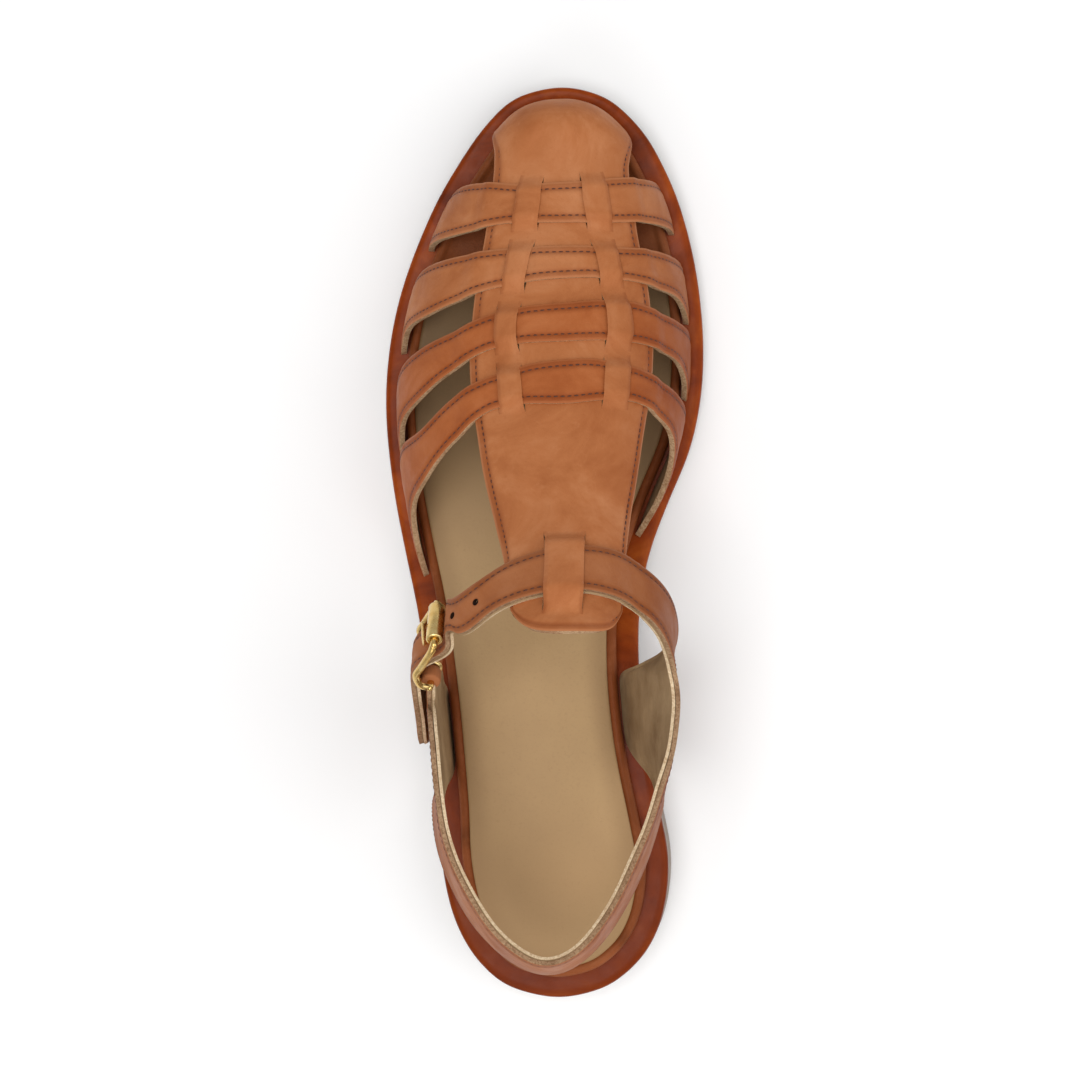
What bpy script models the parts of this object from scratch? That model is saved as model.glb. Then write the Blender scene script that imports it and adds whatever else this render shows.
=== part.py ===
"""Fisherman sandal, left shoe: rubber outsole with a low heel, leather welt, footbed with
a bare sock, woven upper on one hollow wall, and a rear quarter whose ankle strap runs
through the T-bar to a roller buckle. Metres, +Z up, +Y to the toe, +X to the inner side
of the foot, origin on the floor under the middle of the sole."""

import bpy
import bmesh
import math
import numpy as np

# Driving sizes in millimetres
sole_length = 258.0
ball_width = 90.8
instep_height = 70.0
ankle_height = 62.0
heel_lift = 10.8
outsole_thickness = 4.2
welt_thickness = 3.4
footbed_thickness = 3.4
sock_thickness = 1.0
rim_width = 3.0
upper_inset = 5.6
outsole_inset = 0.5
heel_flare = 1.3
end_trim = 0.15
panel_wall = 1.8
strap_wall = 2.2
quarter_wall = 2.4
seat_gap = 0.3
wire_radius = 1.0
roller_length = 14.0
roller_radius = 2.25
frame_length = 17.0
frame_half_width = 8.2
prong_radius = 0.8
strap_half_width = 6.3
fold_half_width = 5.6
fold_wall = 1.4
frame_corner = 2.0
strap_sink = 0.5
bridge_sink = 0.4
bridge_foot = 0.25
strap_end_step = 1.0

MM = 0.001

# Outline of the sole: station from the heel as a share of the length, then the outer
# and the inner edge as shares of the ball width
OUTLINE = [
    (0.009, -0.081, 0.177), (0.023, -0.151, 0.248), (0.052, -0.225, 0.327),
    (0.094, -0.281, 0.378), (0.150, -0.313, 0.394), (0.206, -0.320, 0.367),
    (0.262, -0.334, 0.334), (0.318, -0.350, 0.311), (0.374, -0.371, 0.300),
    (0.430, -0.398, 0.304), (0.486, -0.434, 0.333), (0.542, -0.467, 0.391),
    (0.598, -0.490, 0.457), (0.654, -0.500, 0.493), (0.710, -0.490, 0.503),
    (0.766, -0.460, 0.493), (0.822, -0.407, 0.467), (0.879, -0.334, 0.421),
    (0.921, -0.261, 0.367), (0.949, -0.205, 0.320), (0.977, -0.131, 0.244),
    (0.991, -0.068, 0.181),
]
HEEL_TIP = (0.0, 0.052)
TOE_TIP = (1.0, 0.062)

# Underside of the outsole in front of the heel block: station, height as a share of
# the heel lift (the forefoot lies flat, the toe springs up)
UNDERSIDE = [
    (0.00, 1.00), (0.15, 0.99), (0.25, 0.95), (0.34, 0.76), (0.44, 0.36),
    (0.52, 0.10), (0.58, 0.00), (0.70, 0.00), (0.79, 0.00), (0.86, 0.10),
    (0.93, 0.32), (1.00, 0.72),
]
HEEL_BREAST = 0.262
FOREFOOT_FLAT = (0.58, 0.79)
SOCK_FRONT = 0.80

# Last: station, height of the ridge as a share of the instep height, ridge line, outer
# and inner girth line as shares of the ball width
LAST = [
    (0.340, 1.390, 0.110, -0.330, 0.390), (0.416, 1.170, 0.110, -0.335, 0.400),
    (0.479, 1.000, 0.110, -0.365, 0.405), (0.579, 0.800, 0.105, -0.425, 0.435),
    (0.620, 0.730, 0.100, -0.430, 0.440), (0.679, 0.643, 0.094, -0.425, 0.440),
    (0.745, 0.550, 0.088, -0.410, 0.435), (0.807, 0.471, 0.083, -0.350, 0.410),
    (0.874, 0.385, 0.077, -0.265, 0.365), (0.930, 0.320, 0.072, -0.150, 0.290),
    (1.000, 0.270, 0.066, 0.000, 0.110),
]
TOE_ROUND = 0.930
TOE_SHELL = (0.86, 0.90)
TOE_BLUNT = 0.0015
SIDE_POWER = 2.4
TOP_POWER = 2.2

# Cross straps: angle round the last from the outer to the inner seat, then the front
# and rear edge of straps 1 to 4 as stations
STRAP_EDGES = [
    (0.0, 0.879, 0.819, 0.785, 0.706, 0.663, 0.586, 0.582, 0.462),
    (10.0, 0.882, 0.822, 0.790, 0.722, 0.678, 0.612, 0.596, 0.505),
    (40.0, 0.885, 0.828, 0.801, 0.743, 0.708, 0.655, 0.620, 0.567),
    (57.0, 0.883, 0.832, 0.805, 0.756, 0.723, 0.681, 0.651, 0.606),
    (71.0, 0.880, 0.836, 0.808, 0.766, 0.738, 0.699, 0.670, 0.633),
    (90.0, 0.881, 0.836, 0.810, 0.774, 0.747, 0.705, 0.685, 0.638),
    (116.0, 0.886, 0.837, 0.809, 0.773, 0.750, 0.706, 0.680, 0.642),
    (136.0, 0.889, 0.840, 0.810, 0.768, 0.742, 0.700, 0.668, 0.628),
    (160.0, 0.890, 0.839, 0.806, 0.759, 0.733, 0.685, 0.652, 0.590),
    (180.0, 0.890, 0.836, 0.800, 0.738, 0.727, 0.655, 0.640, 0.506),
]
STRAP_COUNT = 4

# Panel and toe cap: station, angle of the outer edge, angle of the inner edge
PANEL_EDGES = [
    (0.402, 74.0, 117.0), (0.472, 71.5, 118.0), (0.550, 67.0, 121.0),
    (0.620, 63.8, 126.0), (0.680, 61.5, 131.0), (0.750, 60.8, 130.5),
    (0.830, 59.5, 127.5), (0.862, 57.5, 128.5), (0.885, 55.0, 130.5),
    (0.905, 50.0, 137.0), (0.922, 41.0, 150.0), (0.934, 27.0, 165.0),
    (0.946, 0.0, 180.0),
]

# Bridges of the panel over each cross strap: outer bridge from and to, inner bridge
# from and to, as angles
BRIDGES = [
    (71.5, 83.0, 97.4, 111.6), (71.5, 80.5, 102.0, 113.5),
    (70.0, 78.0, 105.0, 118.0), (72.0, 80.0, 103.0, 115.5),
]
BRIDGE_END = 2.6
T_BAR = (84.5, 96.5)
T_BAR_ENDS = (0.503, 0.417)

# Ankle strap where it crosses the tongue: angle, front and rear edge as stations
INSTEP_CROSSING = [
    (120.0, 0.470, 0.424), (112.0, 0.477, 0.431), (104.0, 0.481, 0.435),
    (96.0, 0.4825, 0.4375), (90.0, 0.481, 0.437), (84.0, 0.477, 0.4335),
    (76.0, 0.468, 0.4265), (69.0, 0.457, 0.417),
]

# Rear quarter from the buckle's base bar round the heel to the inner side of the ankle:
# upper edge, then lower edge, each as share of ball width, station and share of the
# ankle height. A lower edge of None stands in the slot beside the footbed.
QUARTER = [
    (-0.290, 0.336, 0.680, -0.286, 0.374, 0.480),
    (-0.286, 0.326, 0.735, -0.286, 0.360, 0.330),
    (-0.282, 0.315, 0.778, -0.290, 0.346, 0.170),
    (-0.278, 0.303, 0.812, None, 0.337, 0.0),
    (-0.270, 0.286, 0.852, None, 0.312, 0.0),
    (-0.262, 0.262, 0.884, None, 0.278, 0.0),
    (-0.252, 0.238, 0.916, None, 0.246, 0.0),
    (-0.243, 0.218, 0.940, -0.296, 0.228, 0.220),
    (-0.232, 0.200, 0.956, -0.288, 0.209, 0.420),
    (-0.206, 0.172, 0.966, -0.270, 0.178, 0.555),
    (-0.154, 0.136, 0.971, -0.226, 0.138, 0.585),
    (-0.094, 0.105, 0.974, -0.160, 0.099, 0.592),
    (-0.028, 0.083, 0.977, -0.077, 0.070, 0.594),
    (0.041, 0.0725, 0.978, 0.011, 0.0535, 0.592),
    (0.109, 0.079, 0.974, 0.094, 0.056, 0.590),
    (0.182, 0.103, 0.971, 0.182, 0.081, 0.585),
    (0.248, 0.142, 0.966, 0.262, 0.124, 0.577),
    (0.303, 0.184, 0.958, 0.317, 0.169, 0.565),
    (0.341, 0.219, 0.942, 0.350, 0.204, 0.530),
    (0.372, 0.254, 0.918, 0.360, 0.230, 0.420),
    (0.393, 0.276, 0.893, 0.335, 0.250, 0.200),
    (0.404, 0.295, 0.864, None, 0.271, 0.0),
    (0.411, 0.315, 0.829, None, 0.302, 0.0),
    (0.414, 0.331, 0.800, None, 0.332, 0.0),
    (0.411, 0.345, 0.782, None, 0.357, 0.0),
    (0.405, 0.357, 0.790, 0.300, 0.366, 0.170),
    (0.397, 0.369, 0.830, 0.372, 0.379, 0.330),
    (0.386, 0.382, 0.890, 0.404, 0.398, 0.490),
    (0.369, 0.398, 0.955, 0.400, 0.427, 0.650),
    (0.340, 0.413, 1.030, 0.362, 0.453, 0.820),
]

# Place of the buckle's base bar in the same shares, and how far each of the first rows
# keeps to the bar when the buckle moves against the foot
BAR_PLACE = (-0.3006, 0.3662, 0.6498)
BAR_FOLLOW = (1.0, 0.9, 0.7, 0.5, 0.3, 0.15)

# Outer side of the ankle strap down to the roller: the same columns
STRAP_DESCENT = [
    (-0.130, 0.411, 1.060, -0.164, 0.446, 0.975),
    (-0.190, 0.397, 1.005, -0.212, 0.435, 0.890),
]

BUCKLE_CENTRE = (-0.2775, 0.412, 0.847)
ROLLER_TILT = 44.0
BASE_BAR_OUT = 2.1
SIDE_BOW = 3.2

# Free end of the strap from the roller on: distance past the roller's axis as a share of
# the frame's length, and distance out from it in millimetres
FREE_END = [
    (-0.206, -3.9), (0.0, -3.9), (0.235, -3.4), (0.424, -0.6), (0.576, 3.6), (0.741, 5.9),
    (1.0, 6.3), (1.41, 6.2), (1.82, 6.0), (2.235, 5.9), (2.53, 5.9), (2.676, 5.9),
]
FREE_END_TIP = (1.0, 1.0, 1.0, 1.0, 1.0, 1.0, 1.0, 1.0, 1.0, 1.0, 0.8, 0.35)

# Where the frame's sides bend, and the prong's points between its eye and its tip:
# shares of the frame's length, then millimetres out from the roller's axis
SIDE_BENDS = (0.324, 0.5, 0.676)
PRONG_SPAN = [(0.765, 3.1), (0.5, 3.2)]
PRONG_REST = (0.235, -0.03)
PRONG_EYE = (-60, -20, 25, 70, 115, 160, 205, 250, 285)

# Degrees over which a strap climbs on to the panel, and how long a bridge's ramp is
# for each length that its slits run past the strap
CLIMB = 9.0
RAMP = 1.7


def clear_scene():
    for old in list(bpy.data.objects):
        bpy.data.objects.remove(old, do_unlink=True)


def new_collection(name):
    group = bpy.data.collections.new(name)
    bpy.context.scene.collection.children.link(group)
    return group


def make_material(name, colour, roughness, metallic=0.0):
    material = bpy.data.materials.new(name)
    material.use_nodes = True
    shader = material.node_tree.nodes["Principled BSDF"]
    shader.inputs["Base Color"].default_value = (*colour, 1.0)
    shader.inputs["Roughness"].default_value = roughness
    shader.inputs["Metallic"].default_value = metallic
    material.diffuse_color = (*colour, 1.0)
    return material


def along(rows, column, place):
    """Smooth value of a table's column at a place in its first column."""
    keys = np.array([row[0] for row in rows])
    values = np.array([row[column] for row in rows])
    slopes = np.gradient(values, keys)
    place = min(max(place, keys[0]), keys[-1])
    low = int(min(max(np.searchsorted(keys, place) - 1, 0), len(keys) - 2))
    span = keys[low + 1] - keys[low]
    t = (place - keys[low]) / span
    return float(
        (2 * t**3 - 3 * t**2 + 1) * values[low]
        + (t**3 - 2 * t**2 + t) * span * slopes[low]
        + (3 * t**2 - 2 * t**3) * values[low + 1]
        + (t**3 - t**2) * span * slopes[low + 1]
    )


def smooth_rows(rows, steps, closed=False):
    """Catmull-Rom curve through points or through whole rows of points."""
    points = [np.array(row, float) for row in rows]
    count = len(points)
    result = []
    for i in range(count if closed else count - 1):
        if closed:
            a, b, c, d = (points[(i + k) % count] for k in (-1, 0, 1, 2))
        else:
            b, c = points[i], points[i + 1]
            a = points[i - 1] if i > 0 else 2 * b - c
            d = points[i + 2] if i + 2 < count else 2 * c - b
        for k in range(steps):
            t = k / steps
            result.append(0.5 * (2 * b + (c - a) * t + (2 * a - 5 * b + 4 * c - d) * t**2
                                 + (3 * b - a - 3 * c + d) * t**3))
    if not closed:
        result.append(points[-1])
    return result


def outline_loop():
    inner = [(row[2] * ball_width, row[0] * sole_length) for row in OUTLINE]
    outer = [(row[1] * ball_width, row[0] * sole_length) for row in reversed(OUTLINE)]
    heel = [(HEEL_TIP[1] * ball_width, HEEL_TIP[0] * sole_length)]
    toe = [(TOE_TIP[1] * ball_width, TOE_TIP[0] * sole_length)]
    return np.array(smooth_rows(heel + inner + toe + outer, 6, closed=True))


OUTLINE_LOOP = outline_loop()
SIDE_CENTRE = (OUTLINE_LOOP[:, 0].min() + OUTLINE_LOOP[:, 0].max()) / 2


def inset_sides(inset):
    """Outer and inner half of the sole's outline, moved in by the inset."""
    tangent = np.roll(OUTLINE_LOOP, -1, 0) - np.roll(OUTLINE_LOOP, 1, 0)
    normal = np.stack([tangent[:, 1], -tangent[:, 0]], 1)
    normal /= np.linalg.norm(normal, axis=1)[:, None]
    loop = OUTLINE_LOOP - normal * inset
    loop = np.roll(loop, -int(loop[:, 1].argmin()), 0)
    toe = int(loop[:, 1].argmax())
    inner = loop[:toe + 1]
    outer = np.concatenate([loop[toe:], loop[:1]])[::-1]
    return outer, inner


SIDES = {}


def edge_at(inset, length_place, inner_side):
    """Sideways place of the inset outline at a distance from the heel."""
    if inset not in SIDES:
        SIDES[inset] = inset_sides(inset)
    half = SIDES[inset][1 if inner_side else 0]
    return float(np.interp(length_place, half[:, 1], half[:, 0]))


def reach(inset):
    """First and last distance from the heel that the inset outline reaches."""
    edge_at(inset, 0.0, True)
    inner = SIDES[inset][1]
    return float(inner[0, 1]), float(inner[-1, 1])


def toe_end(inset):
    """Last station of a shell seated on the inset outline, where it is still wide."""
    return reach(inset)[1] / sole_length - TOE_BLUNT


def underside(station):
    if FOREFOOT_FLAT[0] <= station <= FOREFOOT_FLAT[1]:
        return 0.0
    return max(0.0, along(UNDERSIDE, 1, station) * heel_lift)


def outsole_top(station):
    return underside(station) + outsole_thickness


def welt_low(station):
    return outsole_top(station) + seat_gap


def welt_top(station):
    return welt_low(station) + welt_thickness


def footbed_low(station):
    return welt_top(station) + seat_gap


def footbed_top(station):
    return footbed_low(station) + footbed_thickness


def world(x, length_place, z):
    return ((x - SIDE_CENTRE) * MM, (length_place - sole_length / 2) * MM, z * MM)


def mesh_object(name, points, faces, material, group):
    mesh = bpy.data.meshes.new(name)
    mesh.from_pydata([tuple(point) for point in points], [], faces)
    shape = bmesh.new()
    shape.from_mesh(mesh)
    bmesh.ops.remove_doubles(shape, verts=shape.verts, dist=1e-7)
    bmesh.ops.recalc_face_normals(shape, faces=shape.faces)
    if shape.calc_volume(signed=True) < 0:
        bmesh.ops.reverse_faces(shape, faces=shape.faces)
    shape.to_mesh(mesh)
    shape.free()
    mesh.shade_smooth()
    mesh.set_sharp_from_angle(angle=math.radians(35))
    obj = bpy.data.objects.new(name, mesh)
    obj.data.materials.append(material)
    group.objects.link(obj)
    return obj


def slab(name, lower, upper, material, group):
    """Closed solid between two grids of points, row by row."""
    rows = len(lower)
    columns = len(lower[0])
    points = [point for row in lower for point in row]
    points += [point for row in upper for point in row]
    shift = rows * columns

    def at(i, j, top):
        return i * columns + j + (shift if top else 0)

    faces = []
    for i in range(rows - 1):
        for j in range(columns - 1):
            faces.append((at(i, j, 0), at(i + 1, j, 0), at(i + 1, j + 1, 0), at(i, j + 1, 0)))
            faces.append((at(i, j, 1), at(i, j + 1, 1), at(i + 1, j + 1, 1), at(i + 1, j, 1)))
        for j in (0, columns - 1):
            faces.append((at(i, j, 0), at(i, j, 1), at(i + 1, j, 1), at(i + 1, j, 0)))
    for j in range(columns - 1):
        for i in (0, rows - 1):
            faces.append((at(i, j, 0), at(i, j + 1, 0), at(i, j + 1, 1), at(i, j, 1)))
    return mesh_object(name, points, faces, material, group)


def stations_between(first, last, count):
    """Places that crowd towards both round ends."""
    turn = np.linspace(0.0, math.pi, count)
    return [first + (last - first) * (1 - math.cos(angle)) / 2 for angle in turn]


def sole_layer(name, inset, low, top, columns, count, material, group, extra=(), flare=None,
               front=1.0):
    """One layer of the sole, with its own inset, underside, top and front end."""
    first, last = reach(inset)
    last = min(last, front * sole_length)
    places = sorted(stations_between(first + end_trim, last - end_trim, count) + list(extra))
    lower = []
    upper = []
    for place in places:
        station = place / sole_length
        outer = edge_at(inset, place, False)
        inner = edge_at(inset, place, True)
        spread = flare(station) if flare else 0.0
        low_row = []
        top_row = []
        for k in range(columns):
            share = k / (columns - 1)
            x = outer + (inner - outer) * share
            side = 2 * share - 1
            lean = spread * side * min(1.0, (inner - outer) / 20)
            low_row.append(world(x + lean, place, low(station)))
            top_row.append(world(x, place, top(station)))
        lower.append(low_row)
        upper.append(top_row)
    return slab(name, lower, upper, material, group)


def last_section(station):
    """Ridge height and line, seat and girth on each side, at a station of the last."""
    place = station * sole_length
    rise = min(max((station - TOE_ROUND) / (toe_end(upper_inset) - TOE_ROUND), 0.0), 1.0)
    height = along(LAST, 1, station) * instep_height
    height *= max(1 - rise**SIDE_POWER, 0.0) ** (1 / TOP_POWER)
    ridge = along(LAST, 2, station) * ball_width
    seat_outer = edge_at(upper_inset, place, False)
    seat_inner = edge_at(upper_inset, place, True)
    girth_outer = min(along(LAST, 3, station) * ball_width, seat_outer)
    girth_inner = max(along(LAST, 4, station) * ball_width, seat_inner)
    return height, ridge, seat_outer, seat_inner, girth_outer, girth_inner


def last_point(station, angle):
    height, ridge, seat_outer, seat_inner, girth_outer, girth_inner = last_section(station)
    turn = math.radians(angle)
    sideways = math.cos(turn)
    up = max(math.sin(turn), 0.0)
    girth, seat = (girth_outer, seat_outer) if sideways >= 0 else (girth_inner, seat_inner)
    x = ridge + (girth - ridge) * abs(sideways) ** (2 / SIDE_POWER)
    x -= (girth - seat) * (1 - up) ** 2
    z = welt_top(station) + seat_gap + height * up ** (2 / TOP_POWER)
    return np.array([x, station * sole_length, z])


def toe_shell_point(station, angle, lift):
    """Point of a last grown by the lift, for the round end of the toe."""
    grown_inset = round(upper_inset - lift, 3)
    share = (station - TOE_SHELL[0]) / (toe_end(upper_inset) - TOE_SHELL[0])
    place = (TOE_SHELL[0] + share * (toe_end(grown_inset) - TOE_SHELL[0])) * sole_length
    height, ridge = last_section(station)[:2]
    turn = math.radians(angle)
    sideways = math.cos(turn)
    up = max(math.sin(turn), 0.0)
    seat = edge_at(grown_inset, place, sideways < 0)
    x = ridge + (seat - ridge) * abs(sideways) ** (2 / SIDE_POWER)
    z = welt_top(min(place / sole_length, 1.0)) + seat_gap + (height + lift) * up ** (2 / TOP_POWER)
    return np.array([x, place, z])


def on_last(station, angle, lift):
    """Point on the last moved out by the lift, along its normal or over the toe's end."""
    blend = min(max((station - TOE_SHELL[0]) / (TOE_SHELL[1] - TOE_SHELL[0]), 0.0), 1.0)
    if blend == 1.0:
        return toe_shell_point(station, angle, lift)
    if blend > 0.0:
        beside = offset_point(station, angle, lift)
        return beside * (1 - blend) + toe_shell_point(station, angle, lift) * blend
    return offset_point(station, angle, lift)


def offset_point(station, angle, lift):
    ahead = last_point(station + 0.002, angle)
    behind = last_point(station - 0.002, angle)
    outer = last_point(station, max(angle - 1.0, 0.5))
    inner = last_point(station, min(angle + 1.0, 179.5))
    normal = np.cross(ahead - behind, outer - inner)
    normal /= np.linalg.norm(normal)
    point = last_point(station, angle)
    if angle < 3 or angle > 177:
        normal[2] = 0.0
        normal /= np.linalg.norm(normal)
    if np.dot(normal, point - np.array([8.0, point[1], welt_top(station)])) < 0:
        normal = -normal
    return point + normal * lift


def clear_of_sole(point):
    """The point, moved clear of the welt below it and of the footbed beside it."""
    x, place, z = point
    station = min(max(place / sole_length, 0.0), 1.0)
    z = max(z, welt_top(station) + seat_gap)
    if z < footbed_top(station) + 2 * seat_gap:
        outer = edge_at(upper_inset, place, False)
        inner = edge_at(upper_inset, place, True)
        nearer_inner = x > (outer + inner) / 2
        x = max(x, inner) if nearer_inner else min(x, outer)
    return (x, place, z)


def band(name, rows, wall, material, group, root=None):
    """Strip of leather on the last: rows of station, angle and lift. With a root, its
    underside stays at that lift, so that it is solid down to the wall below it."""
    lower = []
    upper = []
    for row in rows:
        lower.append([world(*clear_of_sole(on_last(s, a, lift if root is None else root)))
                      for s, a, lift in row])
        upper.append([world(*clear_of_sole(on_last(s, a, lift + wall))) for s, a, lift in row])
    return slab(name, lower, upper, material, group)


def panel_edges(station):
    return along(PANEL_EDGES, 1, station), along(PANEL_EDGES, 2, station)


def make_panel(material, group):
    """Toe cap, central panel and tongue in one piece of leather."""
    toe_tip = toe_end(upper_inset)
    places = list(np.linspace(PANEL_EDGES[0][0], 0.86, 20))
    turn = np.linspace(0.0, math.pi / 2, 13)[1:]
    places += [0.86 + (toe_tip - 0.86) * math.sin(angle) for angle in turn]
    rows = []
    for station in places:
        outer, inner = panel_edges(station)
        outer = max(outer, 0.0) if station < PANEL_EDGES[-1][0] else 0.0
        inner = min(inner, 180.0) if station < PANEL_EDGES[-1][0] else 180.0
        rows.append([(station, outer + (inner - outer) * k / 12, 0.0) for k in range(13)])
    return band("upper", rows, panel_wall, material, group)


def strap_lift(station, angle):
    """A cross strap lies on the panel, and on the foot beside it."""
    outer, inner = panel_edges(station)
    over = min(angle - outer, inner - angle)
    share = min(max((over + CLIMB) / CLIMB, 0.0), 1.0)
    return (panel_wall - strap_sink) * share * share * (3 - 2 * share)


def make_cross_strap(index, material, group):
    front_column = 1 + 2 * index
    angles = list(np.linspace(0.0, 180.0, 31))
    rows = []
    for angle in angles:
        front = along(STRAP_EDGES, front_column, angle)
        rear = along(STRAP_EDGES, front_column + 1, angle)
        row = []
        for k in range(3):
            station = front + (rear - front) * k / 2
            row.append((station, angle, strap_lift(station, angle)))
        rows.append(row)
    return band(f"cross_strap_{index + 1}", rows, strap_wall, material, group)


def make_bridge(name, angles, ends, top, material, group, root=None):
    """Strip of the panel that is cut free at its sides and lies over a strap."""
    front, rear = ends
    ramp = RAMP * BRIDGE_END / abs(front - rear) / sole_length
    places = [0.0, ramp * 0.5, ramp, 0.5, 1 - ramp, 1 - ramp * 0.5, 1.0]
    rows = []
    for share in places:
        near = min(share, 1 - share) / ramp
        rise = min(near, 1.0)
        rise = rise * rise * (3 - 2 * rise)
        lift = bridge_foot + (top - bridge_foot) * rise
        station = front + (rear - front) * share
        rows.append([(station, angles[0] + (angles[1] - angles[0]) * k / 2, lift)
                     for k in range(3)])
    return band(name, rows, panel_wall, material, group, root)


def make_bridges(material, group):
    margin = BRIDGE_END / sole_length
    over_strap = panel_wall - strap_sink + strap_wall - bridge_sink
    pieces = []
    for index, row in enumerate(BRIDGES):
        for side, angles in (("outer", row[0:2]), ("inner", row[2:4])):
            middle = (angles[0] + angles[1]) / 2
            front = along(STRAP_EDGES, 1 + 2 * index, middle) + margin
            rear = along(STRAP_EDGES, 2 + 2 * index, middle) - margin
            pieces.append(make_bridge(f"bridge_{side}_{index + 1}", angles, (front, rear),
                                      over_strap, material, group, panel_wall / 3))
    over_ankle_strap = panel_wall + seat_gap + quarter_wall + 2 * seat_gap
    pieces.append(make_bridge("t_bar", T_BAR, T_BAR_ENDS, over_ankle_strap, material, group))
    return pieces


def join(target, others, group):
    for other in others:
        other.hide_render = True
        other.display_type = "WIRE"
    union = target.modifiers.new("joined", "BOOLEAN")
    union.operation = "UNION"
    union.solver = "EXACT"
    union.operand_type = "COLLECTION"
    union.collection = group


def cut(target, cutter):
    cutter.hide_render = True
    cutter.display_type = "WIRE"
    difference = target.modifiers.new(cutter.name, "BOOLEAN")
    difference.operation = "DIFFERENCE"
    difference.solver = "EXACT"
    difference.object = cutter


def seat_of_ankle():
    return footbed_top(0.1)


def buckle_axes():
    tilt = math.radians(ROLLER_TILT)
    roller = np.array([0.0, -math.cos(tilt), math.sin(tilt)])
    down = np.array([0.0, -math.sin(tilt), -math.cos(tilt)])
    out = np.array([-1.0, 0.0, 0.0])
    return roller, down, out


def buckle_point(sideways, down_strap, outwards):
    """Place on the buckle: along the roller, down the strap and out from the ankle."""
    roller, down, out = buckle_axes()
    centre = np.array([BUCKLE_CENTRE[0] * ball_width, BUCKLE_CENTRE[1] * sole_length,
                       seat_of_ankle() + BUCKLE_CENTRE[2] * ankle_height])
    return centre + roller * sideways + down * down_strap + out * outwards


def quarter_point(share_x, station, share_z, slot_side):
    if share_x is None:
        inner = slot_side > 0
        place = station * sole_length
        x = edge_at(upper_inset, place, inner)
        z = welt_top(station) + seat_gap
        return np.array([x, place, z])
    return np.array([share_x * ball_width, station * sole_length,
                     seat_of_ankle() + share_z * ankle_height])


def quarter_rows():
    """Upper and lower edge of the quarter and its strap, from the buckle to the tip."""
    start = (frame_length + strap_end_step, BASE_BAR_OUT - quarter_wall / 2)
    base = [(buckle_point(strap_half_width, *start), buckle_point(-strap_half_width, *start))]
    slip = buckle_point(0, frame_length, BASE_BAR_OUT) - quarter_point(*BAR_PLACE, -1)
    around = []
    for index, row in enumerate(QUARTER):
        side = row[0]
        follow = BAR_FOLLOW[index] if index < len(BAR_FOLLOW) else 0.0
        lower = quarter_point(row[3], row[4], row[5], side)
        if row[3] is not None:
            lower = lower + slip * follow
        around.append((quarter_point(row[0], row[1], row[2], side) + slip * follow, lower))
    crossing = []
    for angle, front, rear in INSTEP_CROSSING:
        lift = panel_wall + seat_gap
        crossing.append((on_last(rear, angle, lift), on_last(front, angle, lift)))
    descent = []
    for row in STRAP_DESCENT:
        descent.append((quarter_point(*row[0:3], -1), quarter_point(*row[3:6], -1)))
    free = []
    for (share, out), width in zip(FREE_END, FREE_END_TIP):
        half = strap_half_width * width
        place = (share * frame_length, out - quarter_wall / 2)
        free.append((buckle_point(half, *place), buckle_point(-half, *place)))
    return base + around + crossing + descent + free


def make_quarter(material, group):
    rows = [np.concatenate(pair) for pair in quarter_rows()]
    rows = smooth_rows(rows, 2)
    lower = []
    upper = []
    for i, row in enumerate(rows):
        before = rows[max(i - 1, 0)]
        after = rows[min(i + 1, len(rows) - 1)]
        low_row = []
        top_row = []
        for k in range(4):
            share = k / 3
            here = row[:3] * (1 - share) + row[3:] * share
            run = (after - before)
            run = run[:3] * (1 - share) + run[3:] * share
            across = row[:3] - row[3:]
            normal = np.cross(run, across)
            normal /= np.linalg.norm(normal)
            low_row.append(world(*clear_of_sole(here)))
            top_row.append(world(*clear_of_sole(here + normal * quarter_wall)))
        lower.append(low_row)
        upper.append(top_row)
    return slab("rear_quarter", lower, upper, material, group)


def wire(name, points, radius, material, group, cyclic=False):
    """Round wire through points, as a curve with a bevel and filled caps."""
    curve = bpy.data.curves.new(name, "CURVE")
    curve.dimensions = "3D"
    curve.bevel_depth = radius * MM
    curve.bevel_resolution = 2
    curve.use_fill_caps = True
    spline = curve.splines.new("POLY")
    spline.points.add(len(points) - 1)
    for target, point in zip(spline.points, points):
        target.co = (*world(*point), 1.0)
    spline.use_cyclic_u = cyclic
    curve.materials.append(material)
    obj = bpy.data.objects.new(name, curve)
    group.objects.link(obj)
    return obj


def wire_mesh(name, points, radius, material, group, cyclic=False):
    """The same wire as a mesh with its caps welded, for cutting and joining."""
    source = wire(name + "_line", points, radius, material, group, cyclic)
    bpy.context.view_layer.update()
    evaluated = source.evaluated_get(bpy.context.evaluated_depsgraph_get())
    mesh = bpy.data.meshes.new_from_object(evaluated)
    shape = bmesh.new()
    shape.from_mesh(mesh)
    bmesh.ops.remove_doubles(shape, verts=shape.verts, dist=1e-6)
    bmesh.ops.recalc_face_normals(shape, faces=shape.faces)
    shape.to_mesh(mesh)
    shape.free()
    mesh.shade_smooth()
    obj = bpy.data.objects.new(name, mesh)
    obj.matrix_world = source.matrix_world
    group.objects.link(obj)
    bpy.data.objects.remove(source, do_unlink=True)
    return obj


def tube_cutter(name, start, end, radius, material, group):
    return wire_mesh(name, [start, end], radius, material, group)


def bow(down_strap):
    """How far the frame's sides stand out between the roller and the base bar."""
    share = min(max(down_strap / frame_length, 0.0), 1.0)
    return BASE_BAR_OUT * share + SIDE_BOW * math.sin(math.pi * share)


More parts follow.
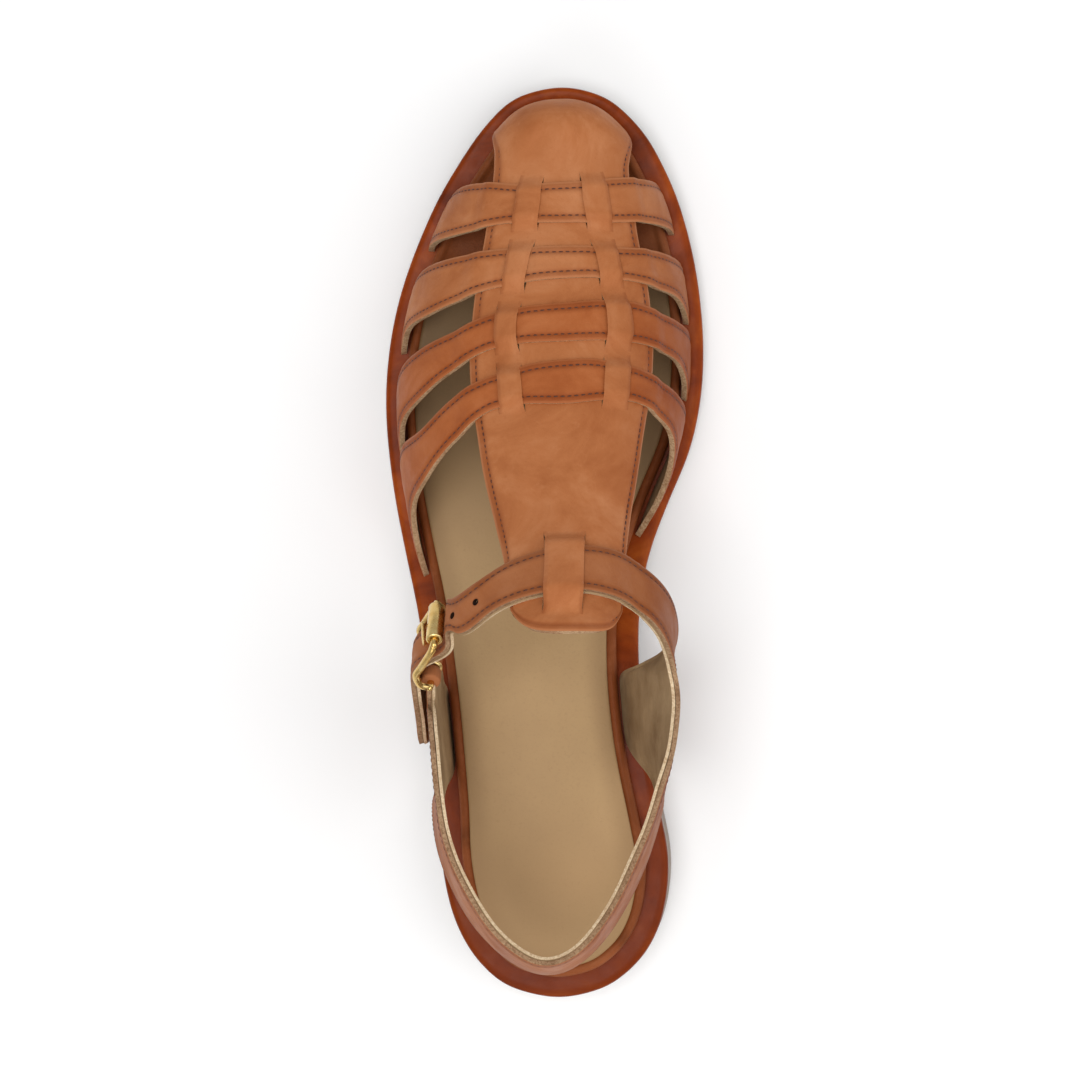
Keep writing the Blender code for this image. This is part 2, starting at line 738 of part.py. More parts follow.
def make_frame(material, group):
    """Wire frame: roller bar, two bowed sides and the base bar, with round corners."""
    half = frame_half_width
    corner = frame_corner
    path = []
    for sign in (1, -1):
        bends = [share * frame_length for share in SIDE_BENDS]
        for down in (corner, *bends, frame_length - corner):
            path.append((sign * half, down if sign > 0 else frame_length - down))
        turn = (half - corner * 0.3, frame_length - corner * 0.3)
        if sign > 0:
            path.append(turn)
            path.append((half - corner, frame_length))
            path.append((-(half - corner), frame_length))
            path.append((-turn[0], turn[1]))
        else:
            path.append((-turn[0], corner * 0.3))
            path.append((-(half - corner), 0.0))
            path.append((half - corner, 0.0))
            path.append((turn[0], corner * 0.3))
    points = [buckle_point(across, down, bow(down)) for across, down in path]
    return wire("buckle_frame", points, wire_radius, material, group, cyclic=True)


def make_roller(material, group, cutters):
    half = roller_length / 2 - 1.0
    roller = wire_mesh("buckle_roller", [buckle_point(-half, 0, 0), buckle_point(half, 0, 0)],
                       roller_radius, material, group)
    bore = tube_cutter("roller_bore", buckle_point(-half - 3, 0, 0),
                       buckle_point(half + 3, 0, 0), wire_radius + seat_gap, material, cutters)
    cut(roller, bore)
    return roller


def prong_points():
    """Prong from its eye on the base bar to its tip on the roller."""
    eye = wire_radius + seat_gap + prong_radius
    points = []
    for degrees in PRONG_EYE:
        turn = math.radians(degrees)
        points.append(buckle_point(0, frame_length + eye * math.sin(turn),
                                   BASE_BAR_OUT + eye * math.cos(turn)))
    rest = roller_radius + seat_gap + prong_radius
    tip = [buckle_point(0, share * frame_length, away) for share, away in PRONG_SPAN]
    tip += [buckle_point(0, share * frame_length, rest) for share in PRONG_REST]
    return points, tip


def make_prong(material, group):
    eye, tip = prong_points()
    path = list(reversed(eye))[:-1] + tip
    return wire("buckle_prong", path, prong_radius, material, group)


def make_loop(material, group):
    """Fold of the quarter's end round the base bar."""
    half = fold_half_width
    return wire_mesh("strap_fold", [buckle_point(-half, frame_length, BASE_BAR_OUT),
                                    buckle_point(half, frame_length, BASE_BAR_OUT)],
                     wire_radius + seat_gap + fold_wall, material, group)


def build():
    clear_scene()
    parts = new_collection("fisherman_sandal")
    cutters = new_collection("cutters")
    rubber = make_material("rubber", (0.34, 0.29, 0.25), 0.75)
    welt_leather = make_material("welt_leather", (0.26, 0.06, 0.015), 0.35)
    rim_leather = make_material("rim_leather", (0.20, 0.075, 0.03), 0.55)
    sock_leather = make_material("sock_leather", (0.36, 0.24, 0.12), 0.7)
    upper_leather = make_material("upper_leather", (0.48, 0.18, 0.075), 0.5)
    quarter_leather = make_material("quarter_leather", (0.42, 0.16, 0.07), 0.5)
    brass = make_material("brass", (0.62, 0.46, 0.18), 0.35, 1.0)

    breast = HEEL_BREAST * sole_length

    def outsole_low(station):
        return 0.0 if station < HEEL_BREAST else underside(station)

    def heel_spread(station):
        return heel_flare if station < HEEL_BREAST else 0.0

    flat_ends = [share * sole_length for share in FOREFOOT_FLAT]
    extra = [breast - 0.05, breast + 1.2] + flat_ends
    sole_layer("outsole", outsole_inset, outsole_low, outsole_top, 7, 40, rubber, parts,
               extra, heel_spread)
    sole_layer("welt", 0.0, welt_low, welt_top, 7, 44, welt_leather, parts)
    sole_layer("footbed", upper_inset + 2 * seat_gap, footbed_low, footbed_top, 7, 40,
               rim_leather, parts)
    sole_layer("sock", upper_inset + seat_gap + rim_width,
               lambda station: footbed_top(station) + seat_gap,
               lambda station: footbed_top(station) + seat_gap + sock_thickness,
               7, 36, sock_leather, parts, front=SOCK_FRONT)

    upper = make_panel(upper_leather, parts)
    weave = new_collection("weave")
    straps = [make_cross_strap(i, upper_leather, weave) for i in range(STRAP_COUNT)]
    join(upper, straps + make_bridges(upper_leather, weave), weave)

    quarter = make_quarter(quarter_leather, parts)
    fold = new_collection("fold")
    join(quarter, [make_loop(quarter_leather, fold)], fold)
    bar_hole = tube_cutter("base_bar_hole", buckle_point(-9, frame_length, BASE_BAR_OUT),
                           buckle_point(9, frame_length, BASE_BAR_OUT),
                           wire_radius + seat_gap, brass, cutters)
    cut(quarter, bar_hole)
    tip = prong_points()[1]
    cut(quarter, wire_mesh("prong_hole", tip[:3], prong_radius + seat_gap, brass, cutters))
    slot_half = prong_radius + seat_gap
    slot = wire_mesh("prong_slot", [buckle_point(-slot_half, frame_length, BASE_BAR_OUT),
                                    buckle_point(slot_half, frame_length, BASE_BAR_OUT)],
                     wire_radius + 2 * prong_radius + 2 * seat_gap + 0.1, brass, cutters)
    cut(quarter, slot)

    make_frame(brass, parts)
    make_roller(brass, parts, cutters)
    make_prong(brass, parts)


build()
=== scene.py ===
"""Looks of the fisherman sandal, left shoe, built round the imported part: woven leather
upper with cut slits and stitches, lined rear quarter, glossy welt, rubber outsole, covered
footbed with a bare sock, and a brass roller buckle. Sizes in the tables are millimetres
or shares of the driving sizes; the row frame is in metres, +Y to the toe, +X inwards."""

import math

import bmesh
import bpy
import numpy as np
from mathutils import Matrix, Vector

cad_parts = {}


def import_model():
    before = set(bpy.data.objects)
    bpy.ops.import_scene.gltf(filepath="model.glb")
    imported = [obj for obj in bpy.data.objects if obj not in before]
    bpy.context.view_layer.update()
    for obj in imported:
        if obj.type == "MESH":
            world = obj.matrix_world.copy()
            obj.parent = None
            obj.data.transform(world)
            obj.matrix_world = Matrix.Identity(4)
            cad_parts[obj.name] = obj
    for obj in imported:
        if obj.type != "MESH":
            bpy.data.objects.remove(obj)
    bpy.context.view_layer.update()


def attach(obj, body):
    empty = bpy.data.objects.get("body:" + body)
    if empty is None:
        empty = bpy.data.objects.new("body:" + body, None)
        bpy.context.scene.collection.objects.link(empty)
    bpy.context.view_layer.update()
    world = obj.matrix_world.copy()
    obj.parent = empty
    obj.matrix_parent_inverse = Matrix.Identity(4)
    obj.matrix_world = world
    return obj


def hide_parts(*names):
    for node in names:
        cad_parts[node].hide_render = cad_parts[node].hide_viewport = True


# Driving sizes in millimetres, the same as in the part's source
sole_length = 258.0
ball_width = 90.8
instep_height = 70.0
ankle_height = 62.0
heel_lift = 10.8
outsole_thickness = 4.2
welt_thickness = 3.4
footbed_thickness = 3.4
sock_thickness = 1.0
rim_width = 3.0
upper_inset = 5.6
outsole_inset = 0.5
heel_flare = 1.3
panel_wall = 1.8
strap_wall = 2.2
quarter_wall = 2.4
seat_gap = 0.3
wire_radius = 1.0
roller_length = 14.0
roller_radius = 2.25
frame_length = 17.0
frame_half_width = 8.2
prong_radius = 0.8
strap_half_width = 6.3

# Sizes of the finer work in millimetres
stitch_pitch = 1.85
stitch_length = 1.22
stitch_width = 0.54
stitch_height = 0.9 * stitch_width
stitch_sink = 0.08
stitch_from_edge = 2.0
stitch_feel = 0.4
stitch_lean = 0.05
stitch_lengths = (0.92, 1.06)
panel_skin = 1.7
strap_skin = 1.65
quarter_skin = 1.25
lining_skin = 0.85
hole_radius = 0.95
# Edge distance given to a punched hole's border: it keeps the light rim off and paints the leather
# round the hole darker, as shade.
hole_shade_edge = 1.2
slit_gap = 0.22
breast_run = 1.2
spine_ends = (34.0, 38.0)

# Relief of the leather in millimetres: edges that bend down, the dent of the stitches with a
# swell inside it, straps pressed onto last and panel, strips that sink onto the straps, and
# straps with a crown and a dip under the strips
edge_drop = 0.32
edge_width = 1.5
edge_rounding = 0.42
stitch_dent = 0.2
stitch_dent_width = 0.42
swell = 0.1
swell_from_stitch = 1.5
swell_width = 0.8
seam_width = 0.6
strap_press = 0.2
panel_press = 0.5
strip_sink = 0.9
strip_arch = 0.12
strap_crown = 0.12
crown_from_edge = 7.0
crown_width = 3.5
strap_dip = 0.28
plain_above_welt = 1.0
plain_run = 6.0

# Share of the real height that the weave keeps, share of the leather's relief that the
# lining follows, how far one degree round the last carries in millimetres, and in degrees
# how a strap comes up to the panel and dips under a strip
relief = 0.72
LINING_FOLLOWS = 0.6
girth_per_degree = 0.6
PANEL_RAMP = 9.0
DIP_MARGIN = 2.5
DIP_RUN = 3.0

# Unevenness of the leather: depth, length of the waves, seed of the draws
PANEL_RIPPLE = (0.07, 17.0, 5)
STRAP_RIPPLE = (0.09, 15.0, 11)
QUARTER_RIPPLE = (0.08, 19.0, 31)
RIPPLE_WAVES = 10
RIPPLE_LEVEL = 4.0
STITCH_SEED = 7

# Mesh spacing in millimetres, counts of rows and columns, widths of soft averages in points,
# and the rows between which the cross straps and the quarter are stitched
outline_step = 0.45
ring_step = 0.9
panel_step = 0.42
TOE_ROWS = 110
PATCH_COLUMNS = (16, 9, 22, 9, 16)
STRAP_ROWS = 300
STRAP_COLUMNS = 31
STRAP_COUNT = 4
QUARTER_COLUMNS = 25
STITCH_COLUMNS = 90
HOLE_SIDES = 28
OUTLINE_STEPS = 24
SOFT_REACH = 24
SOFT_WIDTH = 9.0
ROW_STEPS = 14
ROW_CALM = 16
STRAP_STITCHED = (6, -6)
QUARTER_STITCHED = (14, -34)

MM = 0.001

# Outline of the sole: station from the heel as a share of the length, then the outer
# and the inner edge as shares of the ball width
OUTLINE = [
    (0.009, -0.081, 0.177), (0.023, -0.151, 0.248), (0.052, -0.225, 0.327),
    (0.094, -0.281, 0.378), (0.150, -0.313, 0.394), (0.206, -0.320, 0.367),
    (0.262, -0.334, 0.334), (0.318, -0.350, 0.311), (0.374, -0.371, 0.300),
    (0.430, -0.398, 0.304), (0.486, -0.434, 0.333), (0.542, -0.467, 0.391),
    (0.598, -0.490, 0.457), (0.654, -0.500, 0.493), (0.710, -0.490, 0.503),
    (0.766, -0.460, 0.493), (0.822, -0.407, 0.467), (0.879, -0.334, 0.421),
    (0.921, -0.261, 0.367), (0.949, -0.205, 0.320), (0.977, -0.131, 0.244),
    (0.991, -0.068, 0.181),
]
HEEL_TIP = (0.0, 0.052)
TOE_TIP = (1.0, 0.062)

# Underside of the outsole: station, height as a share of the heel lift
UNDERSIDE = [
    (0.00, 1.00), (0.15, 0.99), (0.25, 0.95), (0.34, 0.76), (0.44, 0.36),
    (0.52, 0.10), (0.58, 0.00), (0.70, 0.00), (0.79, 0.00), (0.86, 0.10),
    (0.93, 0.32), (1.00, 0.72),
]
HEEL_BREAST = 0.262
FLARE_REACH = 0.35
FOREFOOT_FLAT = (0.58, 0.79)
SOCK_FRONT = 0.80

# Last: station, height of the ridge as a share of the instep height, ridge line, outer
# and inner girth line as shares of the ball width
LAST = [
    (0.340, 1.390, 0.110, -0.330, 0.390), (0.416, 1.170, 0.110, -0.335, 0.400),
    (0.479, 1.000, 0.110, -0.365, 0.405), (0.579, 0.800, 0.105, -0.425, 0.435),
    (0.620, 0.730, 0.100, -0.430, 0.440), (0.679, 0.643, 0.094, -0.425, 0.440),
    (0.745, 0.550, 0.088, -0.410, 0.435), (0.807, 0.471, 0.083, -0.350, 0.410),
    (0.874, 0.385, 0.077, -0.265, 0.365), (0.930, 0.320, 0.072, -0.150, 0.290),
    (1.000, 0.270, 0.066, 0.000, 0.110),
]
TOE_ROUND = 0.930
TOE_SHELL = (0.86, 0.90)
TOE_BLUNT = 0.0015
SIDE_POWER = 2.4
TOP_POWER = 2.2

# For normals of the last: a short way along and round it, the angle under which they lie
# level, and sideways place and height of a line inside the shoe
NEAR_STATION = 0.002
NEAR_ANGLE = 1.0
LOW_ANGLE = 3.0
CORE_LINE = (8.0, 18.0)

# Cross straps: angle round the last from the outer to the inner seat, then the front
# and rear edge of straps 1 to 4 as stations
STRAP_EDGES = [
    (0.0, 0.879, 0.819, 0.785, 0.706, 0.663, 0.586, 0.582, 0.462),
    (10.0, 0.882, 0.822, 0.790, 0.722, 0.678, 0.612, 0.596, 0.505),
    (40.0, 0.885, 0.828, 0.801, 0.743, 0.708, 0.655, 0.620, 0.567),
    (57.0, 0.883, 0.832, 0.805, 0.756, 0.723, 0.681, 0.651, 0.606),
    (71.0, 0.880, 0.836, 0.808, 0.766, 0.738, 0.699, 0.670, 0.633),
    (90.0, 0.881, 0.836, 0.810, 0.774, 0.747, 0.705, 0.685, 0.638),
    (116.0, 0.886, 0.837, 0.809, 0.773, 0.750, 0.706, 0.680, 0.642),
    (136.0, 0.889, 0.840, 0.810, 0.768, 0.742, 0.700, 0.668, 0.628),
    (160.0, 0.890, 0.839, 0.806, 0.759, 0.733, 0.685, 0.652, 0.590),
    (180.0, 0.890, 0.836, 0.800, 0.738, 0.727, 0.655, 0.640, 0.506),
]

# Panel and toe cap: station, angle of the outer edge, angle of the inner edge
PANEL_EDGES = [
    (0.402, 74.0, 117.0), (0.472, 71.5, 118.0), (0.550, 67.0, 121.0),
    (0.620, 63.8, 126.0), (0.680, 61.5, 131.0), (0.750, 60.8, 130.5),
    (0.830, 59.5, 127.5), (0.862, 57.5, 128.5), (0.885, 55.0, 130.5),
    (0.905, 50.0, 137.0), (0.922, 41.0, 150.0), (0.934, 27.0, 165.0),
    (0.946, 0.0, 180.0),
]

# Slits of the panel: station, then the angles of the outer strip's two sides and the
# inner strip's two sides; between them runs the T-bar
SLITS = [
    (0.402, 79.0, 84.5, 96.5, 108.0), (0.503, 76.0, 84.5, 96.5, 110.0),
    (0.600, 72.4, 80.6, 102.6, 115.4), (0.654, 72.0, 80.0, 103.0, 115.5),
    (0.724, 70.0, 78.0, 105.0, 118.0), (0.790, 71.5, 80.5, 102.0, 113.5),
    (0.859, 71.5, 83.0, 97.4, 111.6), (0.905, 71.5, 83.0, 97.4, 111.6),
    (1.000, 72.0, 83.0, 97.0, 110.0),
]
BRIDGE_END = 2.6
STRIP_SLOPE = 1.9
T_BAR_ENDS = (0.503, 0.417)
T_BAR_SLOPE = 2.2
T_BAR_SHARE = 0.8
TONGUE_END = (0.402, 0.021, 0.500)
PANEL_REAR = PANEL_EDGES[0][0]
STITCH_TIP = 0.925

# Soft dents and ridges of the toe cap and panel: station, angle, length along the shoe,
# width across it, turn in degrees, depth out of the leather
CREASES = [
    (0.925, 78.0, 16.0, 5.0, 25.0, -0.45), (0.932, 112.0, 12.0, 5.0, -30.0, -0.40),
    (0.905, 95.0, 20.0, 6.0, 80.0, -0.22), (0.950, 94.0, 9.0, 6.0, 0.0, 0.30),
    (0.560, 84.0, 30.0, 5.0, 8.0, -0.22), (0.575, 106.0, 26.0, 5.0, -10.0, -0.20),
    (0.610, 95.0, 6.0, 22.0, 0.0, -0.22), (0.530, 95.0, 5.0, 20.0, 4.0, -0.18),
    (0.440, 90.0, 14.0, 18.0, 0.0, 0.20),
]

# Ankle strap where it crosses the tongue: angle, front and rear edge as stations
INSTEP_CROSSING = [
    (120.0, 0.470, 0.424), (112.0, 0.477, 0.431), (104.0, 0.481, 0.435),
    (96.0, 0.4825, 0.4375), (90.0, 0.481, 0.437), (84.0, 0.477, 0.4335),
    (76.0, 0.468, 0.4265), (69.0, 0.457, 0.417),
]

# Rear quarter from the buckle's base bar round the heel to the inner side of the ankle:
# upper edge, then lower edge, each as share of ball width, station and share of the
# ankle height. A lower edge of None stands in the slot beside the footbed.
QUARTER = [
    (-0.290, 0.336, 0.680, -0.286, 0.374, 0.480),
    (-0.286, 0.326, 0.735, -0.286, 0.360, 0.330),
    (-0.282, 0.315, 0.778, -0.290, 0.346, 0.170),
    (-0.278, 0.303, 0.812, None, 0.337, 0.0),
    (-0.270, 0.286, 0.852, None, 0.312, 0.0),
    (-0.262, 0.262, 0.884, None, 0.278, 0.0),
    (-0.252, 0.238, 0.916, None, 0.246, 0.0),
    (-0.243, 0.218, 0.940, -0.296, 0.228, 0.220),
    (-0.232, 0.200, 0.956, -0.288, 0.209, 0.420),
    (-0.206, 0.172, 0.966, -0.270, 0.178, 0.555),
    (-0.154, 0.136, 0.971, -0.226, 0.138, 0.585),
    (-0.094, 0.105, 0.974, -0.160, 0.099, 0.592),
    (-0.028, 0.083, 0.977, -0.077, 0.070, 0.594),
    (0.041, 0.0725, 0.978, 0.011, 0.0535, 0.592),
    (0.109, 0.079, 0.974, 0.094, 0.056, 0.590),
    (0.182, 0.103, 0.971, 0.182, 0.081, 0.585),
    (0.248, 0.142, 0.966, 0.262, 0.124, 0.577),
    (0.303, 0.184, 0.958, 0.317, 0.169, 0.565),
    (0.341, 0.219, 0.942, 0.350, 0.204, 0.530),
    (0.372, 0.254, 0.918, 0.360, 0.230, 0.420),
    (0.393, 0.276, 0.893, 0.335, 0.250, 0.200),
    (0.404, 0.295, 0.864, None, 0.271, 0.0),
    (0.411, 0.315, 0.829, None, 0.302, 0.0),
    (0.414, 0.331, 0.800, None, 0.332, 0.0),
    (0.411, 0.345, 0.782, None, 0.357, 0.0),
    (0.405, 0.357, 0.790, 0.300, 0.366, 0.170),
    (0.397, 0.369, 0.830, 0.372, 0.379, 0.330),
    (0.386, 0.382, 0.890, 0.404, 0.398, 0.490),
    (0.369, 0.398, 0.955, 0.400, 0.427, 0.650),
    (0.340, 0.413, 1.030, 0.362, 0.453, 0.820),
]

# Outer side of the ankle strap down to the roller: the same columns
STRAP_DESCENT = [
    (-0.130, 0.411, 1.060, -0.164, 0.446, 0.975),
    (-0.190, 0.397, 1.005, -0.212, 0.435, 0.890),
]

# Buckle: middle of the roller as shares of ball width, length and ankle height, the roller's
# tilt in degrees, how far the base bar and the frame's corners lean out in millimetres, and
# where along the frame its corners are
BUCKLE_CENTRE = (-0.2775, 0.412, 0.847)
ROLLER_TILT = 44.0
BASE_BAR_OUT = 2.1
SIDE_BOW = 4.6
CORNER_AT = 0.8
BOW_LINEAR = 0.7
frame_corner = 2.0
FRAME_SIDE = (5.5, 8.5, 11.5)
WIRE_STEPS = 6
PRONG_STEPS = 8

# Folds of the tab round the base bar, on both sides of the tongue, along the bar
STRAP_FOLDS = ((-5.6, -1.2), (1.2, 5.6))
fold_radius = wire_radius + seat_gap + 1.4
fold_rounding = 0.6
roller_short = 1.0
strap_start = frame_length + 1.0

# Tongue: turns round its eye in degrees, then how far down the strap and out it runs on, and
# how its tip thins
PRONG_EYE = (285, 250, 205, 160, 115, 70, 25, -20)
PRONG_RUN = ((frame_length - 4.0, 3.1), (8.5, 3.2))
PRONG_ON_ROLLER = (4.0, -0.5)
PRONG_TIP = 0.55
TAPER_POINTS = 10.0

# Free end of the strap from the roller on: distance past the roller's axis and
# distance out from it, in millimetres, and the width's share
FREE_END = [
    (-3.5, -3.9, 1.0), (0.0, -3.9, 1.0), (4.0, -3.4, 1.0), (7.2, -0.6, 1.0),
    (9.8, 3.6, 1.0), (12.6, 5.9, 1.0), (17.0, 6.3, 1.0), (24.0, 6.2, 1.0),
    (31.0, 6.0, 1.0), (38.0, 5.9, 1.0), (43.0, 5.9, 0.8), (45.5, 5.9, 0.35),
]

# Punched holes of the ankle strap, in millimetres up the strap from the roller; in radii of
# a hole, how far the leather's points are cleared and how far off their border can lie
HOLES = (7.2, 15.8)
HOLE_CLEAR = 1.4
HOLE_NEAR = 3.0


def along(rows, column, place):
    """Smooth values of a table's column at places in its first column."""
    keys = np.array([row[0] for row in rows])
    values = np.array([row[column] for row in rows])
    slopes = np.gradient(values, keys)
    place = np.clip(np.asarray(place, float), keys[0], keys[-1])
    low = np.clip(np.searchsorted(keys, place) - 1, 0, len(keys) - 2)
    span = keys[low + 1] - keys[low]
    t = (place - keys[low]) / span
    return ((2 * t**3 - 3 * t**2 + 1) * values[low]
            + (t**3 - 2 * t**2 + t) * span * slopes[low]
            + (3 * t**2 - 2 * t**3) * values[low + 1]
            + (t**3 - t**2) * span * slopes[low + 1])


def smooth_rows(rows, steps, closed=False):
    """Catmull-Rom curve through points or through whole rows of points."""
    points = [np.array(row, float) for row in rows]
    count = len(points)
    result = []
    for i in range(count if closed else count - 1):
        if closed:
            a, b, c, d = (points[(i + k) % count] for k in (-1, 0, 1, 2))
        else:
            b, c = points[i], points[i + 1]
            a = points[i - 1] if i > 0 else 2 * b - c
            d = points[i + 2] if i + 2 < count else 2 * c - b
        for k in range(steps):
            t = k / steps
            result.append(0.5 * (2 * b + (c - a) * t + (2 * a - 5 * b + 4 * c - d) * t**2
                                 + (3 * b - a - 3 * c + d) * t**3))
    if not closed:
        result.append(points[-1])
    return np.array(result)


def ease(value):
    """Smooth step from 0 to 1."""
    value = np.clip(value, 0.0, 1.0)
    return value * value * (3 - 2 * value)


def hump(value, centre, width):
    """Round bump of height 1 round a centre."""
    return np.exp(-(((value - centre) / width) ** 2))


def averaging(reach_of, width):
    """Weights of a soft average over neighbours on both sides."""
    weights = hump(np.arange(-reach_of, reach_of + 1), 0.0, width)
    return weights / weights.sum()


def sample(line, gone, wanted):
    """Points of a line at distances along it, given how far along its own points are."""
    return np.stack([np.interp(wanted, gone, line[:, k]) for k in range(line.shape[1])], -1)


def even(points, step, closed=False):
    """The same line with points an even step apart."""
    if closed:
        points = np.concatenate([points, points[:1]])
    gone = np.concatenate([[0], np.cumsum(np.linalg.norm(np.diff(points, axis=0), axis=1))])
    count = max(int(round(gone[-1] / step)), 2)
    places = np.linspace(0, gone[-1], count + 1)
    if closed:
        places = places[:-1]
    return sample(points, gone, places)


def outline_loop():
    """The sole's outline as one soft closed line of even points."""
    inner = [(row[2] * ball_width, row[0] * sole_length) for row in OUTLINE]
    outer = [(row[1] * ball_width, row[0] * sole_length) for row in reversed(OUTLINE)]
    heel = [(HEEL_TIP[1] * ball_width, HEEL_TIP[0] * sole_length)]
    toe = [(TOE_TIP[1] * ball_width, TOE_TIP[0] * sole_length)]
    loop = smooth_rows(heel + inner + toe + outer, OUTLINE_STEPS, closed=True)
    loop = even(loop, outline_step, closed=True)
    return sum(weight * np.roll(loop, shift, 0)
               for shift, weight in enumerate(averaging(SOFT_REACH, SOFT_WIDTH), -SOFT_REACH))


OUTLINE_LOOP = outline_loop()
SIDE_CENTRE = (OUTLINE_LOOP[:, 0].min() + OUTLINE_LOOP[:, 0].max()) / 2


def inset_loop(inset, loop):
    """The loop moved in by the inset, and its outward directions."""
    tangent = np.roll(loop, -1, 0) - np.roll(loop, 1, 0)
    normal = np.stack([tangent[:, 1], -tangent[:, 0]], 1)
    normal /= np.linalg.norm(normal, axis=1)[:, None]
    return loop - normal * inset, normal


INSET_STEP = 0.4
INSET_COUNT = 34
SAMPLES = 900


def half_tables():
    """Sideways places of both halves of each inset outline, and the outlines' two ends."""
    turn = np.linspace(0.0, math.pi, SAMPLES)
    shares = (1 - np.cos(turn)) / 2
    table = np.zeros((2, INSET_COUNT, SAMPLES))
    ends = np.zeros((INSET_COUNT, 2))
    for k in range(INSET_COUNT):
        loop = inset_loop(k * INSET_STEP, OUTLINE_LOOP)[0]
        loop = np.roll(loop, -int(loop[:, 1].argmin()), 0)
        toe = int(loop[:, 1].argmax())
        halves = (np.concatenate([loop[toe:], loop[:1]])[::-1], loop[:toe + 1])
        ends[k] = halves[1][0, 1], halves[1][-1, 1]
        for side, half in enumerate(halves):
            places = ends[k, 0] + (ends[k, 1] - ends[k, 0]) * shares
            table[side, k] = np.interp(places, half[:, 1], half[:, 0])
    return table, ends


HALF_TABLE, HALF_ENDS = half_tables()


def reach(inset):
    """Rear and front end of the inset outline."""
    insets = np.arange(INSET_COUNT) * INSET_STEP
    return np.interp(inset, insets, HALF_ENDS[:, 0]), np.interp(inset, insets, HALF_ENDS[:, 1])


def edge_at(inset, place, inner):
    """Sideways place of the inset outline at distances from the heel."""
    inset, place, inner = np.broadcast_arrays(inset, place, inner)
    first, last = reach(inset)
    share = np.clip((place - first) / (last - first), 0.0, 1.0)
    column = np.arccos(1 - 2 * share) / math.pi * (SAMPLES - 1)
    row = np.clip(inset / INSET_STEP, 0, INSET_COUNT - 1.001)
    i = row.astype(int)
    j = np.clip(column.astype(int), 0, SAMPLES - 2)
    side = inner.astype(int)
    u = row - i
    v = column - j
    return ((HALF_TABLE[side, i, j] * (1 - v) + HALF_TABLE[side, i, j + 1] * v) * (1 - u)
            + (HALF_TABLE[side, i + 1, j] * (1 - v) + HALF_TABLE[side, i + 1, j + 1] * v) * u)


def toe_end(inset):
    """Station of the inset outline's front end, a hair before its tip."""
    return reach(inset)[1] / sole_length - TOE_BLUNT


def underside(station):
    """Height of the outsole's underside, without the heel block."""
    height = np.maximum(along(UNDERSIDE, 1, station) * heel_lift, 0.0)
    flat = (station >= FOREFOOT_FLAT[0]) & (station <= FOREFOOT_FLAT[1])
    return np.where(flat, 0.0, height)


def outsole_top(station):
    return underside(station) + outsole_thickness


def welt_low(station):
    return outsole_top(station) + seat_gap


def welt_top(station):
    return welt_low(station) + welt_thickness


def footbed_low(station):
    return welt_top(station) + seat_gap


def footbed_top(station):
    return footbed_low(station) + footbed_thickness


def world(points):
    """From the last's millimetres to the row frame's metres."""
    points = np.asarray(points, float)
    return (points - np.array([SIDE_CENTRE, sole_length / 2, 0.0])) * MM


def ridge_height(station):
    """Height of the last's ridge over its seat, rounded off at the toe."""
    rise = np.clip((station - TOE_ROUND) / (toe_end(upper_inset) - TOE_ROUND), 0.0, 1.0)
    height = along(LAST, 1, station) * instep_height
    return height * np.maximum(1 - rise**SIDE_POWER, 0.0) ** (1 / TOP_POWER)


def round_last(angle):
    """How far sideways and how far up an angle round the last points."""
    turn = np.radians(angle)
    return np.cos(turn), np.maximum(np.sin(turn), 0.0)


def last_point(station, angle):
    """Points of the last itself."""
    place = station * sole_length
    ridge = along(LAST, 2, station) * ball_width
    seat_outer = edge_at(upper_inset, place, False)
    seat_inner = edge_at(upper_inset, place, True)
    girth_outer = np.minimum(along(LAST, 3, station) * ball_width, seat_outer)
    girth_inner = np.maximum(along(LAST, 4, station) * ball_width, seat_inner)
    sideways, up = round_last(angle)
    girth = np.where(sideways >= 0, girth_outer, girth_inner)
    seat = np.where(sideways >= 0, seat_outer, seat_inner)
    x = ridge + (girth - ridge) * np.abs(sideways) ** (2 / SIDE_POWER)
    x = x - (girth - seat) * (1 - up) ** 2
    z = welt_top(station) + seat_gap + ridge_height(station) * up ** (2 / TOP_POWER)
    return np.stack([x, place, z], -1)


def toe_shell_point(station, angle, lift):
    """Points of a last grown by the lift, for the round end of the toe."""
    grown = upper_inset - lift
    share = (station - TOE_SHELL[0]) / (toe_end(upper_inset) - TOE_SHELL[0])
    place = (TOE_SHELL[0] + share * (toe_end(grown) - TOE_SHELL[0])) * sole_length
    ridge = along(LAST, 2, station) * ball_width
    sideways, up = round_last(angle)
    seat = edge_at(grown, place, sideways < 0)
    x = ridge + (seat - ridge) * np.abs(sideways) ** (2 / SIDE_POWER)
    seated = welt_top(np.minimum(place / sole_length, 1.0)) + seat_gap
    height = ridge_height(station) + lift
    return np.stack([x, place, seated + height * up ** (2 / TOP_POWER)], -1)


def unit(vectors):
    return vectors / np.maximum(np.linalg.norm(vectors, axis=-1, keepdims=True), 1e-12)


